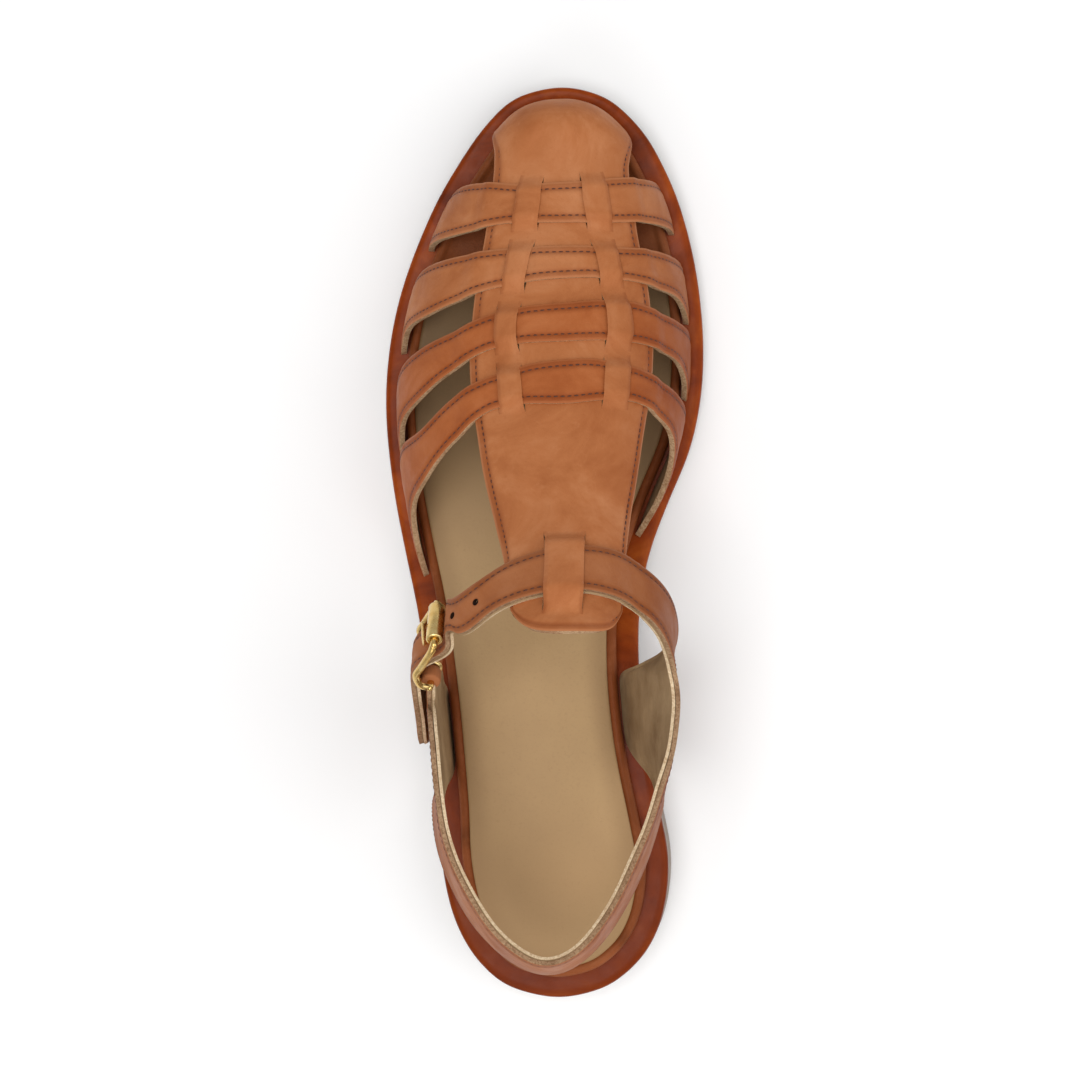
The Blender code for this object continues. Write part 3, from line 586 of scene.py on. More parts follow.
def offset_point(station, angle, lift):
    """Points of the last moved out along its normal."""
    ahead = last_point(station + NEAR_STATION, angle)
    behind = last_point(station - NEAR_STATION, angle)
    outer = last_point(station, np.maximum(angle - NEAR_ANGLE, NEAR_ANGLE / 2))
    inner = last_point(station, np.minimum(angle + NEAR_ANGLE, 180.0 - NEAR_ANGLE / 2))
    normal = unit(np.cross(ahead - behind, outer - inner))
    low = (angle < LOW_ANGLE) | (angle > 180.0 - LOW_ANGLE)
    normal[..., 2] = np.where(low, 0.0, normal[..., 2])
    normal = unit(normal)
    point = last_point(station, angle)
    middle = np.full_like(point[..., 0], CORE_LINE[0])
    core = np.stack([middle, point[..., 1], welt_top(station)], -1)
    flip = np.sum(normal * (point - core), -1, keepdims=True) < 0
    normal = np.where(flip, -normal, normal)
    return point + normal * lift[..., None]


def on_last(station, angle, lift):
    """Points on the last moved out by the lift, along its normal or over the toe's end."""
    station, angle, lift = (np.array(value, float) for value in
                            np.broadcast_arrays(station, angle, lift))
    blend = np.clip((station - TOE_SHELL[0]) / (TOE_SHELL[1] - TOE_SHELL[0]), 0.0, 1.0)
    blend = blend[..., None]
    return (offset_point(station, angle, lift) * (1 - blend)
            + toe_shell_point(station, angle, lift) * blend)


def clear_of_sole(points):
    """The points, moved clear of the welt below them and of the footbed beside them."""
    x, place, z = points[..., 0], points[..., 1], points[..., 2]
    station = np.clip(place / sole_length, 0.0, 1.0)
    z = np.maximum(z, welt_top(station) + seat_gap)
    outer = edge_at(upper_inset, place, False)
    inner = edge_at(upper_inset, place, True)
    beside = z < footbed_top(station) + 2 * seat_gap
    pushed = np.where(x > (outer + inner) / 2, np.maximum(x, inner), np.minimum(x, outer))
    return np.stack([np.where(beside, pushed, x), place, z], -1)


def outward_normals(grid):
    """Unit normals of a grid of points, turned away from the line inside the shoe."""
    normal = unit(np.cross(np.gradient(grid, axis=0), np.gradient(grid, axis=1)))
    core = grid * [0, 1, 0] + np.array([CORE_LINE[0], 0.0, CORE_LINE[1]])
    return -normal if np.sum(normal * (grid - core)) < 0 else normal


def ripple(points, wave, extra_seed=0):
    """Soft unevenness of a wave's depth, with bumps of about its length."""
    depth, length, seed = wave
    draw = np.random.default_rng(seed + extra_seed)
    total = np.zeros(points.shape[:-1])
    for _ in range(RIPPLE_WAVES):
        direction = unit(draw.normal(size=3)) * 2 * math.pi / (length * draw.uniform(0.7, 1.6))
        total += np.sin(points @ direction + draw.uniform(0, 2 * math.pi))
    return depth * (total / RIPPLE_LEVEL)


def distances(grid, axis):
    """Distance of each point of a grid from the grid's first line along an axis."""
    step = np.linalg.norm(np.diff(grid, axis=axis), axis=-1)
    start = np.zeros_like(np.take(step, [0], axis=axis))
    return np.concatenate([start, np.cumsum(step, axis=axis)], axis=axis)


def from_edges(grid, ends=(False, False)):
    """Distance in millimetres from the sides of a grid, and from its ends if they are free."""
    across = distances(grid, 1)
    result = np.minimum(across, across[:, -1:] - across)
    run = distances(grid, 0)
    if ends[0]:
        result = np.minimum(result, run)
    if ends[1]:
        result = np.minimum(result, run[-1:] - run)
    return result


def edge_shape(edge, stitched=True):
    """How far leather bends down at its edge, and dips along the row of stitches."""
    drop = -edge_drop * (1 - ease(edge / edge_width)) ** 2
    if stitched:
        drop = drop - stitch_dent * hump(edge, stitch_from_edge, stitch_dent_width)
        drop = drop + swell * hump(edge, stitch_from_edge + swell_from_stitch, swell_width)
    return drop


def seam_shade(edge):
    """How near a point is to the row of stitches, from 0 to 1."""
    return hump(edge, stitch_from_edge, seam_width)


def show(name, data):
    """New object in the scene."""
    thing = bpy.data.objects.new(name, data)
    bpy.context.scene.collection.objects.link(thing)
    return thing


def circle(count):
    """Cosines and sines of directions all round."""
    turn = 2 * math.pi * np.arange(count)[:, None] / count
    return np.cos(turn), np.sin(turn)


def mesh_piece(name, points, faces, materials, values=None):
    """Smooth mesh in the row frame, from points in the last's millimetres."""
    mesh = bpy.data.meshes.new(name)
    mesh.from_pydata(world(points).tolist(), [], faces)
    for label, numbers in (values or {}).items():
        layer = mesh.attributes.new(label, "FLOAT", "POINT")
        layer.data.foreach_set("value", np.asarray(numbers, np.float32).ravel())
    for material in materials:
        mesh.materials.append(material)
    mesh.shade_smooth()
    return show(name, mesh)


def grid_faces(rows, columns, flip=False, closed_rows=False, closed_columns=False):
    """Faces of a grid of points, with its ends joined where it is closed."""
    index = np.arange(rows * columns).reshape(rows, columns)
    if closed_rows:
        index = np.concatenate([index, index[:1]], 0)
    if closed_columns:
        index = np.concatenate([index, index[:, :1]], 1)
    quads = np.stack([index[:-1, :-1], index[1:, :-1], index[1:, 1:], index[:-1, 1:]], -1)
    quads = quads.reshape(-1, 4)
    if flip:
        quads = quads[:, ::-1]
    return quads.tolist()


def to_bmesh(piece):
    shape = bmesh.new()
    shape.from_mesh(piece.data)
    return shape


def from_bmesh(shape, piece):
    shape.to_mesh(piece.data)
    shape.free()


def face_out(piece, merge=None):
    """Faces of a closed piece turned outwards, with points at one place merged."""
    shape = to_bmesh(piece)
    if merge is not None:
        bmesh.ops.remove_doubles(shape, verts=shape.verts, dist=merge)
    bmesh.ops.recalc_face_normals(shape, faces=shape.faces)
    from_bmesh(shape, piece)
    piece.data.shade_smooth()


def thicken(piece, thickness):
    """Leather of real thickness under the sheet, with rounded cut edges."""
    solid = piece.modifiers.new("thickness", "SOLIDIFY")
    solid.thickness = thickness * MM
    solid.offset = -1.0
    solid.use_even_offset = False
    solid.material_offset = 1
    solid.material_offset_rim = 2
    rounding = piece.modifiers.new("edges", "BEVEL")
    rounding.width = edge_rounding * MM
    rounding.segments = 3
    rounding.limit_method = "ANGLE"
    rounding.angle_limit = math.radians(55)
    rounding.use_clamp_overlap = True
    return piece


def leather_sheet(name, grid, outward, thickness, materials, edge, extra=None):
    """Leather whose outer face is the grid of points."""
    rows, columns = grid.shape[:2]
    run = grid[1:, :-1] - grid[:-1, :-1]
    across = grid[:-1, 1:] - grid[:-1, :-1]
    flip = np.sum(np.cross(run, across) * outward[:-1, :-1]) < 0
    values = {"edge": edge}
    values.update(extra or {})
    piece = mesh_piece(name, grid.reshape(-1, 3), grid_faces(rows, columns, flip), materials,
                       values)
    return thicken(piece, thickness)


def capsule(sides=8, rings=5):
    """Points and faces of one stitch, one unit long, wide and high."""
    points = []
    for i in range(rings):
        turn = math.pi * (i + 0.5) / rings - math.pi / 2
        wide = math.cos(turn) ** 0.6
        for k in range(sides):
            spin = 2 * math.pi * k / sides
            points.append((math.sin(turn) * 0.5, wide * math.cos(spin) * 0.5,
                           wide * math.sin(spin) * 0.5))
    faces = grid_faces(rings, sides, closed_columns=True)
    faces.append(list(range(sides))[::-1])
    faces.append([(rings - 1) * sides + k for k in range(sides)])
    return np.array(points), faces


def make_stitches(name, lines, material, seed):
    """One mesh with a stitch every pitch along each line of points and normals."""
    draw = np.random.default_rng(seed)
    shape, shape_faces = capsule()
    points = []
    faces = []
    for line, normals in lines:
        gone = distances(line[:, None], 0)[:, 0]
        total = gone[-1]
        count = int(total / stitch_pitch)
        if count < 2:
            continue
        at = (np.arange(count) + 0.5) * total / count
        centre = sample(line, gone, at)
        run = unit(sample(line, gone, at + stitch_feel) - sample(line, gone, at - stitch_feel))
        normal = unit(sample(normals, gone, at))
        side = unit(np.cross(normal, run))
        normal = np.cross(run, side)
        centre = centre - normal * stitch_sink
        lean = draw.normal(0, stitch_lean, count)[:, None]
        run = unit(run + side * lean)
        side = np.cross(normal, run)
        long = stitch_length * draw.uniform(*stitch_lengths, count)[:, None, None]
        placed = (centre[:, None]
                  + run[:, None] * shape[None, :, 0:1] * long
                  + side[:, None] * shape[None, :, 1:2] * stitch_width
                  + normal[:, None] * shape[None, :, 2:3] * stitch_height)
        start = sum(len(group) for group in points)
        for k in range(count):
            shift = start + k * len(shape)
            faces += [[shift + v for v in face] for face in shape_faces]
        points.append(placed.reshape(-1, 3))
    return mesh_piece(name, np.concatenate(points), faces, [material])


# Colours and finishes


def colour(red, green, blue):
    """Linear colour from a screen colour of 0 to 255."""
    result = []
    for value in (red, green, blue):
        value /= 255
        result.append(value / 12.92 if value <= 0.04045 else ((value + 0.055) / 1.055) ** 2.4)
    return (*result, 1.0)


class Finish:
    """A material in the making: its node tree, its shader, and its colour and relief so far."""

    def __init__(self, name):
        self.material = bpy.data.materials.new(name)
        self.material.use_nodes = True
        self.tree = self.material.node_tree
        self.shader = self.tree.nodes["Principled BSDF"]
        self.place = self.add("ShaderNodeTexCoord").outputs["Object"]
        self.tint = None
        self.relief = None

    def plug(self, socket, value):
        """Another node's output linked to a socket, or a value set on it."""
        if isinstance(value, bpy.types.NodeSocket):
            self.tree.links.new(value, socket)
        else:
            socket.default_value = value

    def fill(self, node, inputs):
        for name, value in inputs.items():
            self.plug(node.inputs[name.replace("_", " ")], value)

    def add(self, kind, **inputs):
        node = self.tree.nodes.new(kind)
        self.fill(node, inputs)
        return node

    def noise(self, scale, detail=4.0, roughness=0.55, distortion=0.0):
        return self.add("ShaderNodeTexNoise", Vector=self.place, Scale=scale, Detail=detail,
                        Roughness=roughness, Distortion=distortion).outputs["Fac"]

    def cells(self, scale):
        return self.add("ShaderNodeTexVoronoi", Vector=self.place, Scale=scale).outputs["Distance"]

    def bands(self, scale, distortion, direction, detail=2.0):
        node = self.add("ShaderNodeTexWave", Vector=self.place, Scale=scale,
                        Distortion=distortion, Detail=detail)
        node.bands_direction = direction
        return node.outputs["Fac"]

    def axis(self, name):
        """Place along one axis of the row frame, in metres."""
        return self.add("ShaderNodeSeparateXYZ", Vector=self.place).outputs[name]

    def attribute(self, name):
        node = self.add("ShaderNodeAttribute")
        node.attribute_name = name
        return node.outputs["Fac"]

    def times(self, value, factor):
        node = self.add("ShaderNodeMath")
        node.operation = "MULTIPLY"
        self.plug(node.inputs[0], value)
        self.plug(node.inputs[1], factor)
        return node.outputs[0]

    def spread(self, value, low, high, to_low, to_high):
        """The value's range from low to high, turned softly into another range."""
        node = self.add("ShaderNodeMapRange", Value=value, From_Min=low, From_Max=high,
                        To_Min=to_low, To_Max=to_high)
        node.interpolation_type = "SMOOTHSTEP"
        return node.outputs[0]

    def start(self, value, *stops):
        """The first colour, a ramp over the value."""
        node = self.add("ShaderNodeValToRGB")
        self.plug(node.inputs[0], value)
        elements = node.color_ramp.elements
        while len(elements) < len(stops):
            elements.new(0.5)
        for element, (place, tone) in zip(elements, stops):
            element.position = place
            element.color = tone
        self.tint = node.outputs[0]

    def lay(self, tone, share):
        """Another colour over the colour so far."""
        node = self.add("ShaderNodeMix")
        node.data_type = "RGBA"
        for place, value in ((0, share), (6, self.tint), (7, tone)):
            self.plug(node.inputs[place], value)
        self.tint = node.outputs[2]

    def veil(self, tone, value, low, high, to_low, to_high):
        """Another colour whose share follows the value."""
        self.lay(tone, self.spread(value, low, high, to_low, to_high))

    def bump(self, height, strength, distance):
        """Relief, on top of the relief so far."""
        node = self.add("ShaderNodeBump", Height=height, Strength=strength, Distance=distance)
        if self.relief is not None:
            self.plug(node.inputs["Normal"], self.relief)
        self.relief = node.outputs[0]

    def done(self, **inputs):
        """The material with its colour, its relief and its shader's other inputs."""
        self.fill(self.shader, {"Base Color": self.tint, "Normal": self.relief, **inputs})
        return self.material


def leather(name, dark, middle, light, edge_and_shade_dark, rough=0.52, edges=True):
    """Smooth waxed leather: mottled tan with pores, darker beside its edges, with painted shade
    along the stitches and on the shoe's inner side.
    """
    look = Finish(name)
    look.start(look.noise(42.0, 6.0, 0.62, 0.6), (0.30, dark), (0.50, middle), (0.72, light))
    look.veil(dark, look.noise(900.0, 3.0, 0.7), 0.52, 0.75, 0.0, 0.22)
    look.veil(light, look.noise(160.0, 5.0, 0.7, 2.0), 0.55, 0.8, 0.0, 0.35)
    # Painted shade: the inner side of the foot, which faces away from the key light, is made
    # darker.
    look.veil(edge_and_shade_dark, look.axis("X"), 0.010, 0.044, 0.0, 0.38)
    if edges:
        edge = look.attribute("edge")
        look.veil(edge_and_shade_dark, edge, 0.4, 4.2, 0.38, 0.0)
        look.veil(light, edge, 0.25, 0.9, 0.45, 0.0)
        # Painted shade in the dent along the rows of stitches.
        look.lay(edge_and_shade_dark, look.times(look.attribute("seam"), 0.36))
    look.bump(look.cells(1900.0), 0.22, 0.00012)
    look.bump(look.noise(380.0, 5.0, 0.68, 1.2), 0.3, 0.00025)
    worn = look.spread(look.noise(120.0, 4.0, 0.6), 0.3, 0.7, rough - 0.07, rough + 0.12)
    return look.done(Roughness=worn, Specular_IOR_Level=0.08)


def cut_edge(name, pale, deep):
    """Raw cut edge of leather: light fibres, with painted shade on the walls of the punched holes.
    """
    look = Finish(name)
    fibres = look.noise(1500.0, 4.0, 0.75, 0.5)
    look.start(fibres, (0.32, deep), (0.6, pale))
    look.veil(deep, look.noise(140.0, 3.0, 0.6), 0.45, 0.75, 0.0, 0.6)
    # Painted shade on the walls of the punched holes.
    look.lay(colour(44, 24, 13), look.attribute("hole"))
    look.bump(fibres, 0.7, 0.0003)
    return look.done(Roughness=0.86, Specular_IOR_Level=0.2)


def lining(name, pale, deep):
    """Bare split leather of the lining, with a soft nap."""
    look = Finish(name)
    nap = look.noise(700.0, 6.0, 0.72, 0.4)
    look.start(look.noise(60.0, 4.0, 0.6), (0.32, deep), (0.68, pale))
    look.veil(deep, nap, 0.5, 0.8, 0.0, 0.4)
    look.bump(nap, 0.5, 0.0003)
    return look.done(Roughness=0.88, Specular_IOR_Level=0.25)


def polished_edge(name, dark, middle, light):
    """Welt leather, stained and polished, with faint layers, and painted shade round the heel,
    where the quarter stands over it.
    """
    look = Finish(name)
    look.start(look.noise(50.0, 5.0, 0.6, 0.8), (0.3, dark), (0.52, middle), (0.76, light))
    look.veil(dark, look.bands(260.0, 3.0, "Z", 3.0), 0.5, 1.0, 0.0, 0.22)
    # Painted shade: the welt darkens towards the heel, under the rear quarter.
    look.veil(dark, look.axis("Y"), -0.11, 0.03, 0.6, 0.0)
    look.bump(look.noise(900.0, 4.0, 0.6), 0.25, 0.0002)
    worn = look.spread(look.noise(200.0, 4.0, 0.6), 0.3, 0.7, 0.3, 0.46)
    return look.done(Roughness=worn, Specular_IOR_Level=0.08, Coat_Weight=0.03,
                     Coat_Roughness=0.25)


def rubber(name, pale, deep):
    """Dull moulded rubber with faint level ribs and grit."""
    look = Finish(name)
    cloud = look.noise(90.0, 4.0, 0.6)
    look.start(cloud, (0.3, deep), (0.7, pale))
    look.veil(pale, look.noise(1200.0, 3.0, 0.7), 0.55, 0.8, 0.0, 0.3)
    look.bump(look.bands(95.0, 0.0, "Z"), 0.25, 0.0003)
    look.bump(look.noise(2600.0, 3.0, 0.7), 0.35, 0.0001)
    return look.done(Roughness=look.spread(cloud, 0.3, 0.7, 0.62, 0.8))


def brass(name, dark, light):
    """Polished brass, lightly scratched and cloudy."""
    look = Finish(name)
    cloud = look.noise(260.0, 4.0, 0.6)
    look.start(cloud, (0.3, dark), (0.7, light))
    look.bump(look.noise(2400.0, 3.0, 0.7, 1.5), 0.012, 0.00002)
    return look.done(Metallic=1.0, Roughness=look.spread(cloud, 0.3, 0.75, 0.22, 0.32))


def thread(name, tone, lighter):
    """Waxed thread with its twist."""
    look = Finish(name)
    twist = look.bands(1500.0, 4.0, "DIAGONAL")
    look.tint = tone
    look.lay(lighter, twist)
    look.bump(twist, 0.5, 0.0001)
    return look.done(Roughness=0.6)


def sock_leather(name, pale, light):
    """Bare insole leather, faintly grained, darker at its edge and its heel, with a painted shadow
    under the weave.
    """
    look = Finish(name)
    cloud = look.noise(26.0, 4.0, 0.55)
    lengthwise = look.axis("Y")
    fine = look.noise(1100.0, 5.0, 0.7)
    look.start(cloud, (0.3, pale), (0.7, light))
    look.veil(colour(140, 108, 72), look.attribute("edge"), 0.0, 7.0, 0.5, 0.0)
    look.veil(colour(146, 112, 74), lengthwise, -0.100, -0.055, 0.6, 0.0)
    # Painted shadow of the woven straps on the forefoot.
    look.veil(colour(104, 78, 48), lengthwise, -0.025, 0.045, 0.0, 0.75)
    look.veil(colour(140, 108, 74), fine, 0.5, 0.8, 0.0, 0.25)
    look.bump(look.cells(1300.0), 0.18, 0.0001)
    look.bump(fine, 0.2, 0.0001)
    return look.done(Roughness=look.spread(cloud, 0.3, 0.7, 0.55, 0.68), Specular_IOR_Level=0.3)


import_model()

TAN = leather("tan_leather", colour(154, 87, 47), colour(175, 108, 65), colour(192, 129, 87),
              colour(118, 50, 16))
# Darker copy of the tan leather: painted shade for straps 3 and 4, which slope away from the
# light.
SHADED_TAN = leather("shaded_tan_leather", colour(150, 78, 38), colour(167, 94, 51),
                   colour(182, 111, 67), colour(110, 42, 11))
QUARTER_TAN = leather("quarter_leather", colour(142, 80, 46), colour(159, 96, 57),
                      colour(174, 113, 74), colour(102, 44, 15))
RIM_BROWN = leather("rim_leather", colour(104, 54, 24), colour(132, 70, 36), colour(156, 92, 56),
                    colour(84, 40, 18), 0.5, edges=False)
FIBRE = cut_edge("cut_edge", colour(196, 164, 128), colour(136, 92, 58))
LINED_FIBRE = cut_edge("lined_cut_edge", colour(224, 202, 168), colour(178, 144, 108))
CORE = cut_edge("leather_core", colour(172, 140, 108), colour(112, 78, 52))
BEIGE = lining("beige_lining", colour(172, 144, 108), colour(132, 104, 72))
BROWN = lining("brown_underside", colour(134, 96, 64), colour(92, 58, 34))
WELT = polished_edge("welt_leather", colour(100, 36, 5), colour(140, 57, 11),
                     colour(170, 82, 24))
RUBBER = rubber("outsole_rubber", colour(160, 147, 137), colour(142, 127, 116))
BRASS = brass("brass", colour(204, 164, 92), colour(232, 206, 144))
THREAD = thread("brown_thread", colour(62, 26, 10), colour(98, 48, 22))
SOCK = sock_leather("sock_leather", colour(181, 147, 103), colour(197, 163, 118))


def finish_piece(piece, slot, *nodes):
    """The piece shown for its CAD nodes; all of them rest in the one body."""
    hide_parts(*nodes)
    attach(piece, "root")
    return piece


# Sole: rings round the outline, each an inset and a height, closed over the middle


def spine_of(loop):
    """For each point of the outline the nearest point of the sole's long middle line."""
    place = np.clip(loop[:, 1], spine_ends[0], sole_length - spine_ends[1])
    middle = (edge_at(0.0, place, False) + edge_at(0.0, place, True)) / 2
    return np.stack([middle, place], 1)


def ring_piece(name, rings, materials, fill, slot, node, front=None, flares=None):
    """Closed layer of the sole. Each ring has an inset and a function for its height; the
    fill gives how many rings close the top and the underside over the middle. The flares
    are how far each ring leans out at the heel."""
    loop = even(OUTLINE_LOOP, ring_step, closed=True)
    spine = spine_of(loop)
    places = []
    for k, (inset, height) in enumerate(rings):
        flat = inset_loop(inset, loop)[0]
        if flares is not None:
            before = HEEL_BREAST * sole_length - breast_run
            at_heel = 1 - ease((flat[:, 1] - before) / breast_run)
            lean = (flat[:, 0] - spine[:, 0]) / (FLARE_REACH * ball_width)
            flat[:, 0] += np.clip(lean, -1, 1) * flares[k] * at_heel
        places.append((flat, height))

    def closing(ring, steps):
        flat, height = ring
        return [(flat * (1 - k / fill) + spine * (k / fill), height) for k in steps]

    ordered = closing(places[0], range(fill, 0, -1)) + places
    ordered += closing(places[-1], range(1, fill + 1))
    outline = inset_loop(rings[0][0], loop)[0]
    edge = [np.linalg.norm(flat - outline, axis=1) for flat, _ in ordered]
    points = []
    for flat, height in ordered:
        place = flat[:, 1] if front is None else np.minimum(flat[:, 1], front)
        bent = np.stack([flat[:, 0], place], 1)
        station = np.clip(place / sole_length, 0.0, 1.0)
        points.append(np.concatenate([bent, height(station, bent)[:, None]], 1))
    faces = grid_faces(len(points), len(loop), closed_columns=True)
    piece = mesh_piece(name, np.concatenate(points), faces, materials, {"edge": np.array(edge)})
    face_out(piece)
    return finish_piece(piece, slot, node)


def flat_at(level, lift):
    """Height function for a ring at a lift over one of the sole's levels."""
    return lambda station, flat: level(station) + lift


def outsole_floor(lift=0.0):
    """Underside of the heel block and of the sole before it."""
    breast = HEEL_BREAST * sole_length

    def height(station, flat):
        share = ease((flat[:, 1] - breast) / breast_run)
        return underside(station) * share + lift
    return height


def part_way(share, lift=0.0):
    """Height function for a ring between the outsole's underside and its top."""
    floor = outsole_floor()

    def height(station, flat):
        low = floor(station, flat)
        return low + (outsole_top(station) - low) * share + lift
    return height


# Outsole: inset, height function, share of the heel's flare
OUTSOLE_RINGS = [
    (6.4, outsole_floor(0.9), 1.0), (5.6, outsole_floor(0.0), 1.0),
    (2.0, outsole_floor(0.0), 1.0), (0.7, outsole_floor(0.1), 1.0),
    (0.2, outsole_floor(0.5), 1.0), (0.0, part_way(0.2), 0.85),
    (0.0, part_way(0.42), 0.6), (0.35, part_way(0.46), 0.55),
    (0.35, part_way(0.52), 0.5), (0.0, part_way(0.56), 0.45),
    (0.0, part_way(0.9), 0.1), (0.3, part_way(1.0, -0.1), 0.0),
    (1.0, part_way(1.0), 0.0),
]
ring_piece("outsole_rubber", [(outsole_inset + row[0], row[1]) for row in OUTSOLE_RINGS],
           [RUBBER], 14, "outsole", "outsole",
           flares=[row[2] * heel_flare for row in OUTSOLE_RINGS])

# Welt, footbed with its rolled rim and sock inside the rim: inset, level, lift over it
WELT_RINGS = [
    (2.2, welt_low, 0.0), (0.7, welt_low, 0.05), (0.2, welt_low, 0.4), (0.0, welt_low, 1.0),
    (0.0, welt_low, 1.6), (0.1, welt_low, 2.3), (0.35, welt_low, 2.85), (0.8, welt_low, 3.2),
    (1.5, welt_top, 0.0), (2.6, welt_top, 0.0), (4.0, welt_top, -0.05), (5.4, welt_top, -0.1),
]
FOOTBED_RINGS = [
    (1.0, footbed_low, 0.0), (0.2, footbed_low, 0.3), (0.0, footbed_low, 1.2),
    (0.0, footbed_top, -1.2), (0.15, footbed_top, 0.1), (0.6, footbed_top, 0.8),
    (rim_width / 2 - 0.3, footbed_top, 1.25), (rim_width / 2 + 0.4, footbed_top, 1.25),
    (rim_width - 0.6, footbed_top, 0.95), (rim_width - 0.1, footbed_top, 0.3),
    (rim_width + 0.5, footbed_top, 0.1),
]
SOCK_RINGS = [
    (0.5, footbed_top, seat_gap), (0.0, footbed_top, seat_gap + 0.3),
    (0.0, footbed_top, seat_gap + 0.6), (0.3, footbed_top, seat_gap + 0.9),
    (0.9, footbed_top, seat_gap + sock_thickness),
]


def level_rings(inset, table):
    """Rings at lifts over the sole's levels, all moved in by the inset."""
    return [(inset + more, flat_at(level, lift)) for more, level, lift in table]


ring_piece("welt_edge", level_rings(0.0, WELT_RINGS), [WELT], 8, "welt", "welt")
ring_piece("footbed_cover", level_rings(upper_inset + 2 * seat_gap, FOOTBED_RINGS), [RIM_BROWN],
           10, "footbed", "footbed")
ring_piece("sock_lining", level_rings(upper_inset + seat_gap + rim_width, SOCK_RINGS), [SOCK],
           14, "sock", "sock", front=SOCK_FRONT * sole_length)


# Upper: panel with its slits, cross straps woven through it


def strap_edges(index, angle):
    """Stations of a cross strap's front and rear edge at an angle round the last."""
    front = along(STRAP_EDGES, 1 + 2 * index, angle)
    rear = along(STRAP_EDGES, 2 + 2 * index, angle)
    return front, rear


def bridge_lift(station, front, rear, top, slope=STRIP_SLOPE):
    """How far a strip stands off the panel between the two ends of its slits."""
    ramp = slope * BRIDGE_END / sole_length
    near = np.minimum(front - station, station - rear) / ramp
    return ease(near) * top


def panel_columns(station):
    """Angles of the panel's edges and of the four slit lines at stations."""
    outer = np.where(station < PANEL_EDGES[-1][0], along(PANEL_EDGES, 1, station), 0.0)
    inner = np.where(station < PANEL_EDGES[-1][0], along(PANEL_EDGES, 2, station), 180.0)
    lines = [np.maximum(outer, 0.0)]
    lines += [along(SLITS, k, station) for k in (1, 2, 3, 4)]
    lines.append(np.minimum(inner, 180.0))
    return lines


def strip_lifts(station, patch, line_angles):
    """Lift of a patch of the panel at stations: strips over the straps, T-bar over the
    ankle strap."""
    lift = np.zeros_like(station)
    margin = BRIDGE_END / sole_length
    if patch in (1, 3):
        middle = (line_angles[patch] + line_angles[patch + 1]) / 2
        top = (panel_wall + strap_wall - strip_sink) * relief
        for index in range(STRAP_COUNT):
            front, rear = strap_edges(index, middle)
            lift = np.maximum(lift, bridge_lift(station, front + margin, rear - margin, top))
    if patch == 2:
        top = (panel_wall + quarter_wall + 3 * seat_gap) * T_BAR_SHARE
        lift = np.maximum(lift, bridge_lift(station, *T_BAR_ENDS, top, T_BAR_SLOPE))
    return lift


def tongue_round(station, share):
    """Stations bent so that the tongue's end is bowed and its corners are round."""
    end = TONGUE_END[0] + TONGUE_END[1] * np.abs(2 * share - 1) ** 5
    near = np.clip((TONGUE_END[2] - station) / (TONGUE_END[2] - PANEL_REAR), 0, 1)
    return station + (end - PANEL_REAR) * near


def crease_depth(grid):
    """How far the dents and ridges move each point of a grid out of the leather."""
    depth = np.zeros(grid.shape[:2])
    for at, turn, length, width, spin, height in CREASES:
        away = grid - on_last(at, turn, panel_wall)
        sine, cosine = math.sin(math.radians(spin)), math.cos(math.radians(spin))
        u = away[..., 1] * cosine + away[..., 0] * sine
        v = away[..., 0] * cosine - away[..., 1] * sine
        depth += height * hump(u, 0.0, length / 1.6) * hump(v, 0.0, width / 1.6)
    return depth


def panel_blocks():
    """The panel's six-line grid as five patches side by side: stations, lifts and points."""
    tip = toe_end(upper_inset)
    body = np.arange(PANEL_REAR, TOE_SHELL[0], panel_step / sole_length)
    turn = np.linspace(0.0, math.pi / 2, TOE_ROWS)[1:]
    stations = np.concatenate([body, TOE_SHELL[0] + (tip - TOE_SHELL[0]) * np.sin(turn)])
    lines = panel_columns(stations)
    blocks = []
    for patch, count in enumerate(PATCH_COLUMNS):
        share = np.linspace(0.0, 1.0, count + 1)[None, :]
        angle = lines[patch][:, None] * (1 - share) + lines[patch + 1][:, None] * share
        lift = strip_lifts(stations, patch, lines)[:, None]
        lift = lift * np.ones_like(share)
        whole = (angle - lines[0][:, None]) / (lines[5] - lines[0])[:, None]
        station = tongue_round(np.repeat(stations[:, None], count + 1, 1), whole)
        arch = 1 - strip_arch * (2 * share - 1) ** 2
        narrower = ease(lift) * slit_gap * (1 - 2 * share) / girth_per_degree
        grid = on_last(station, angle + narrower, panel_wall + lift * arch)
        blocks.append((station, lift, grid))
    return blocks


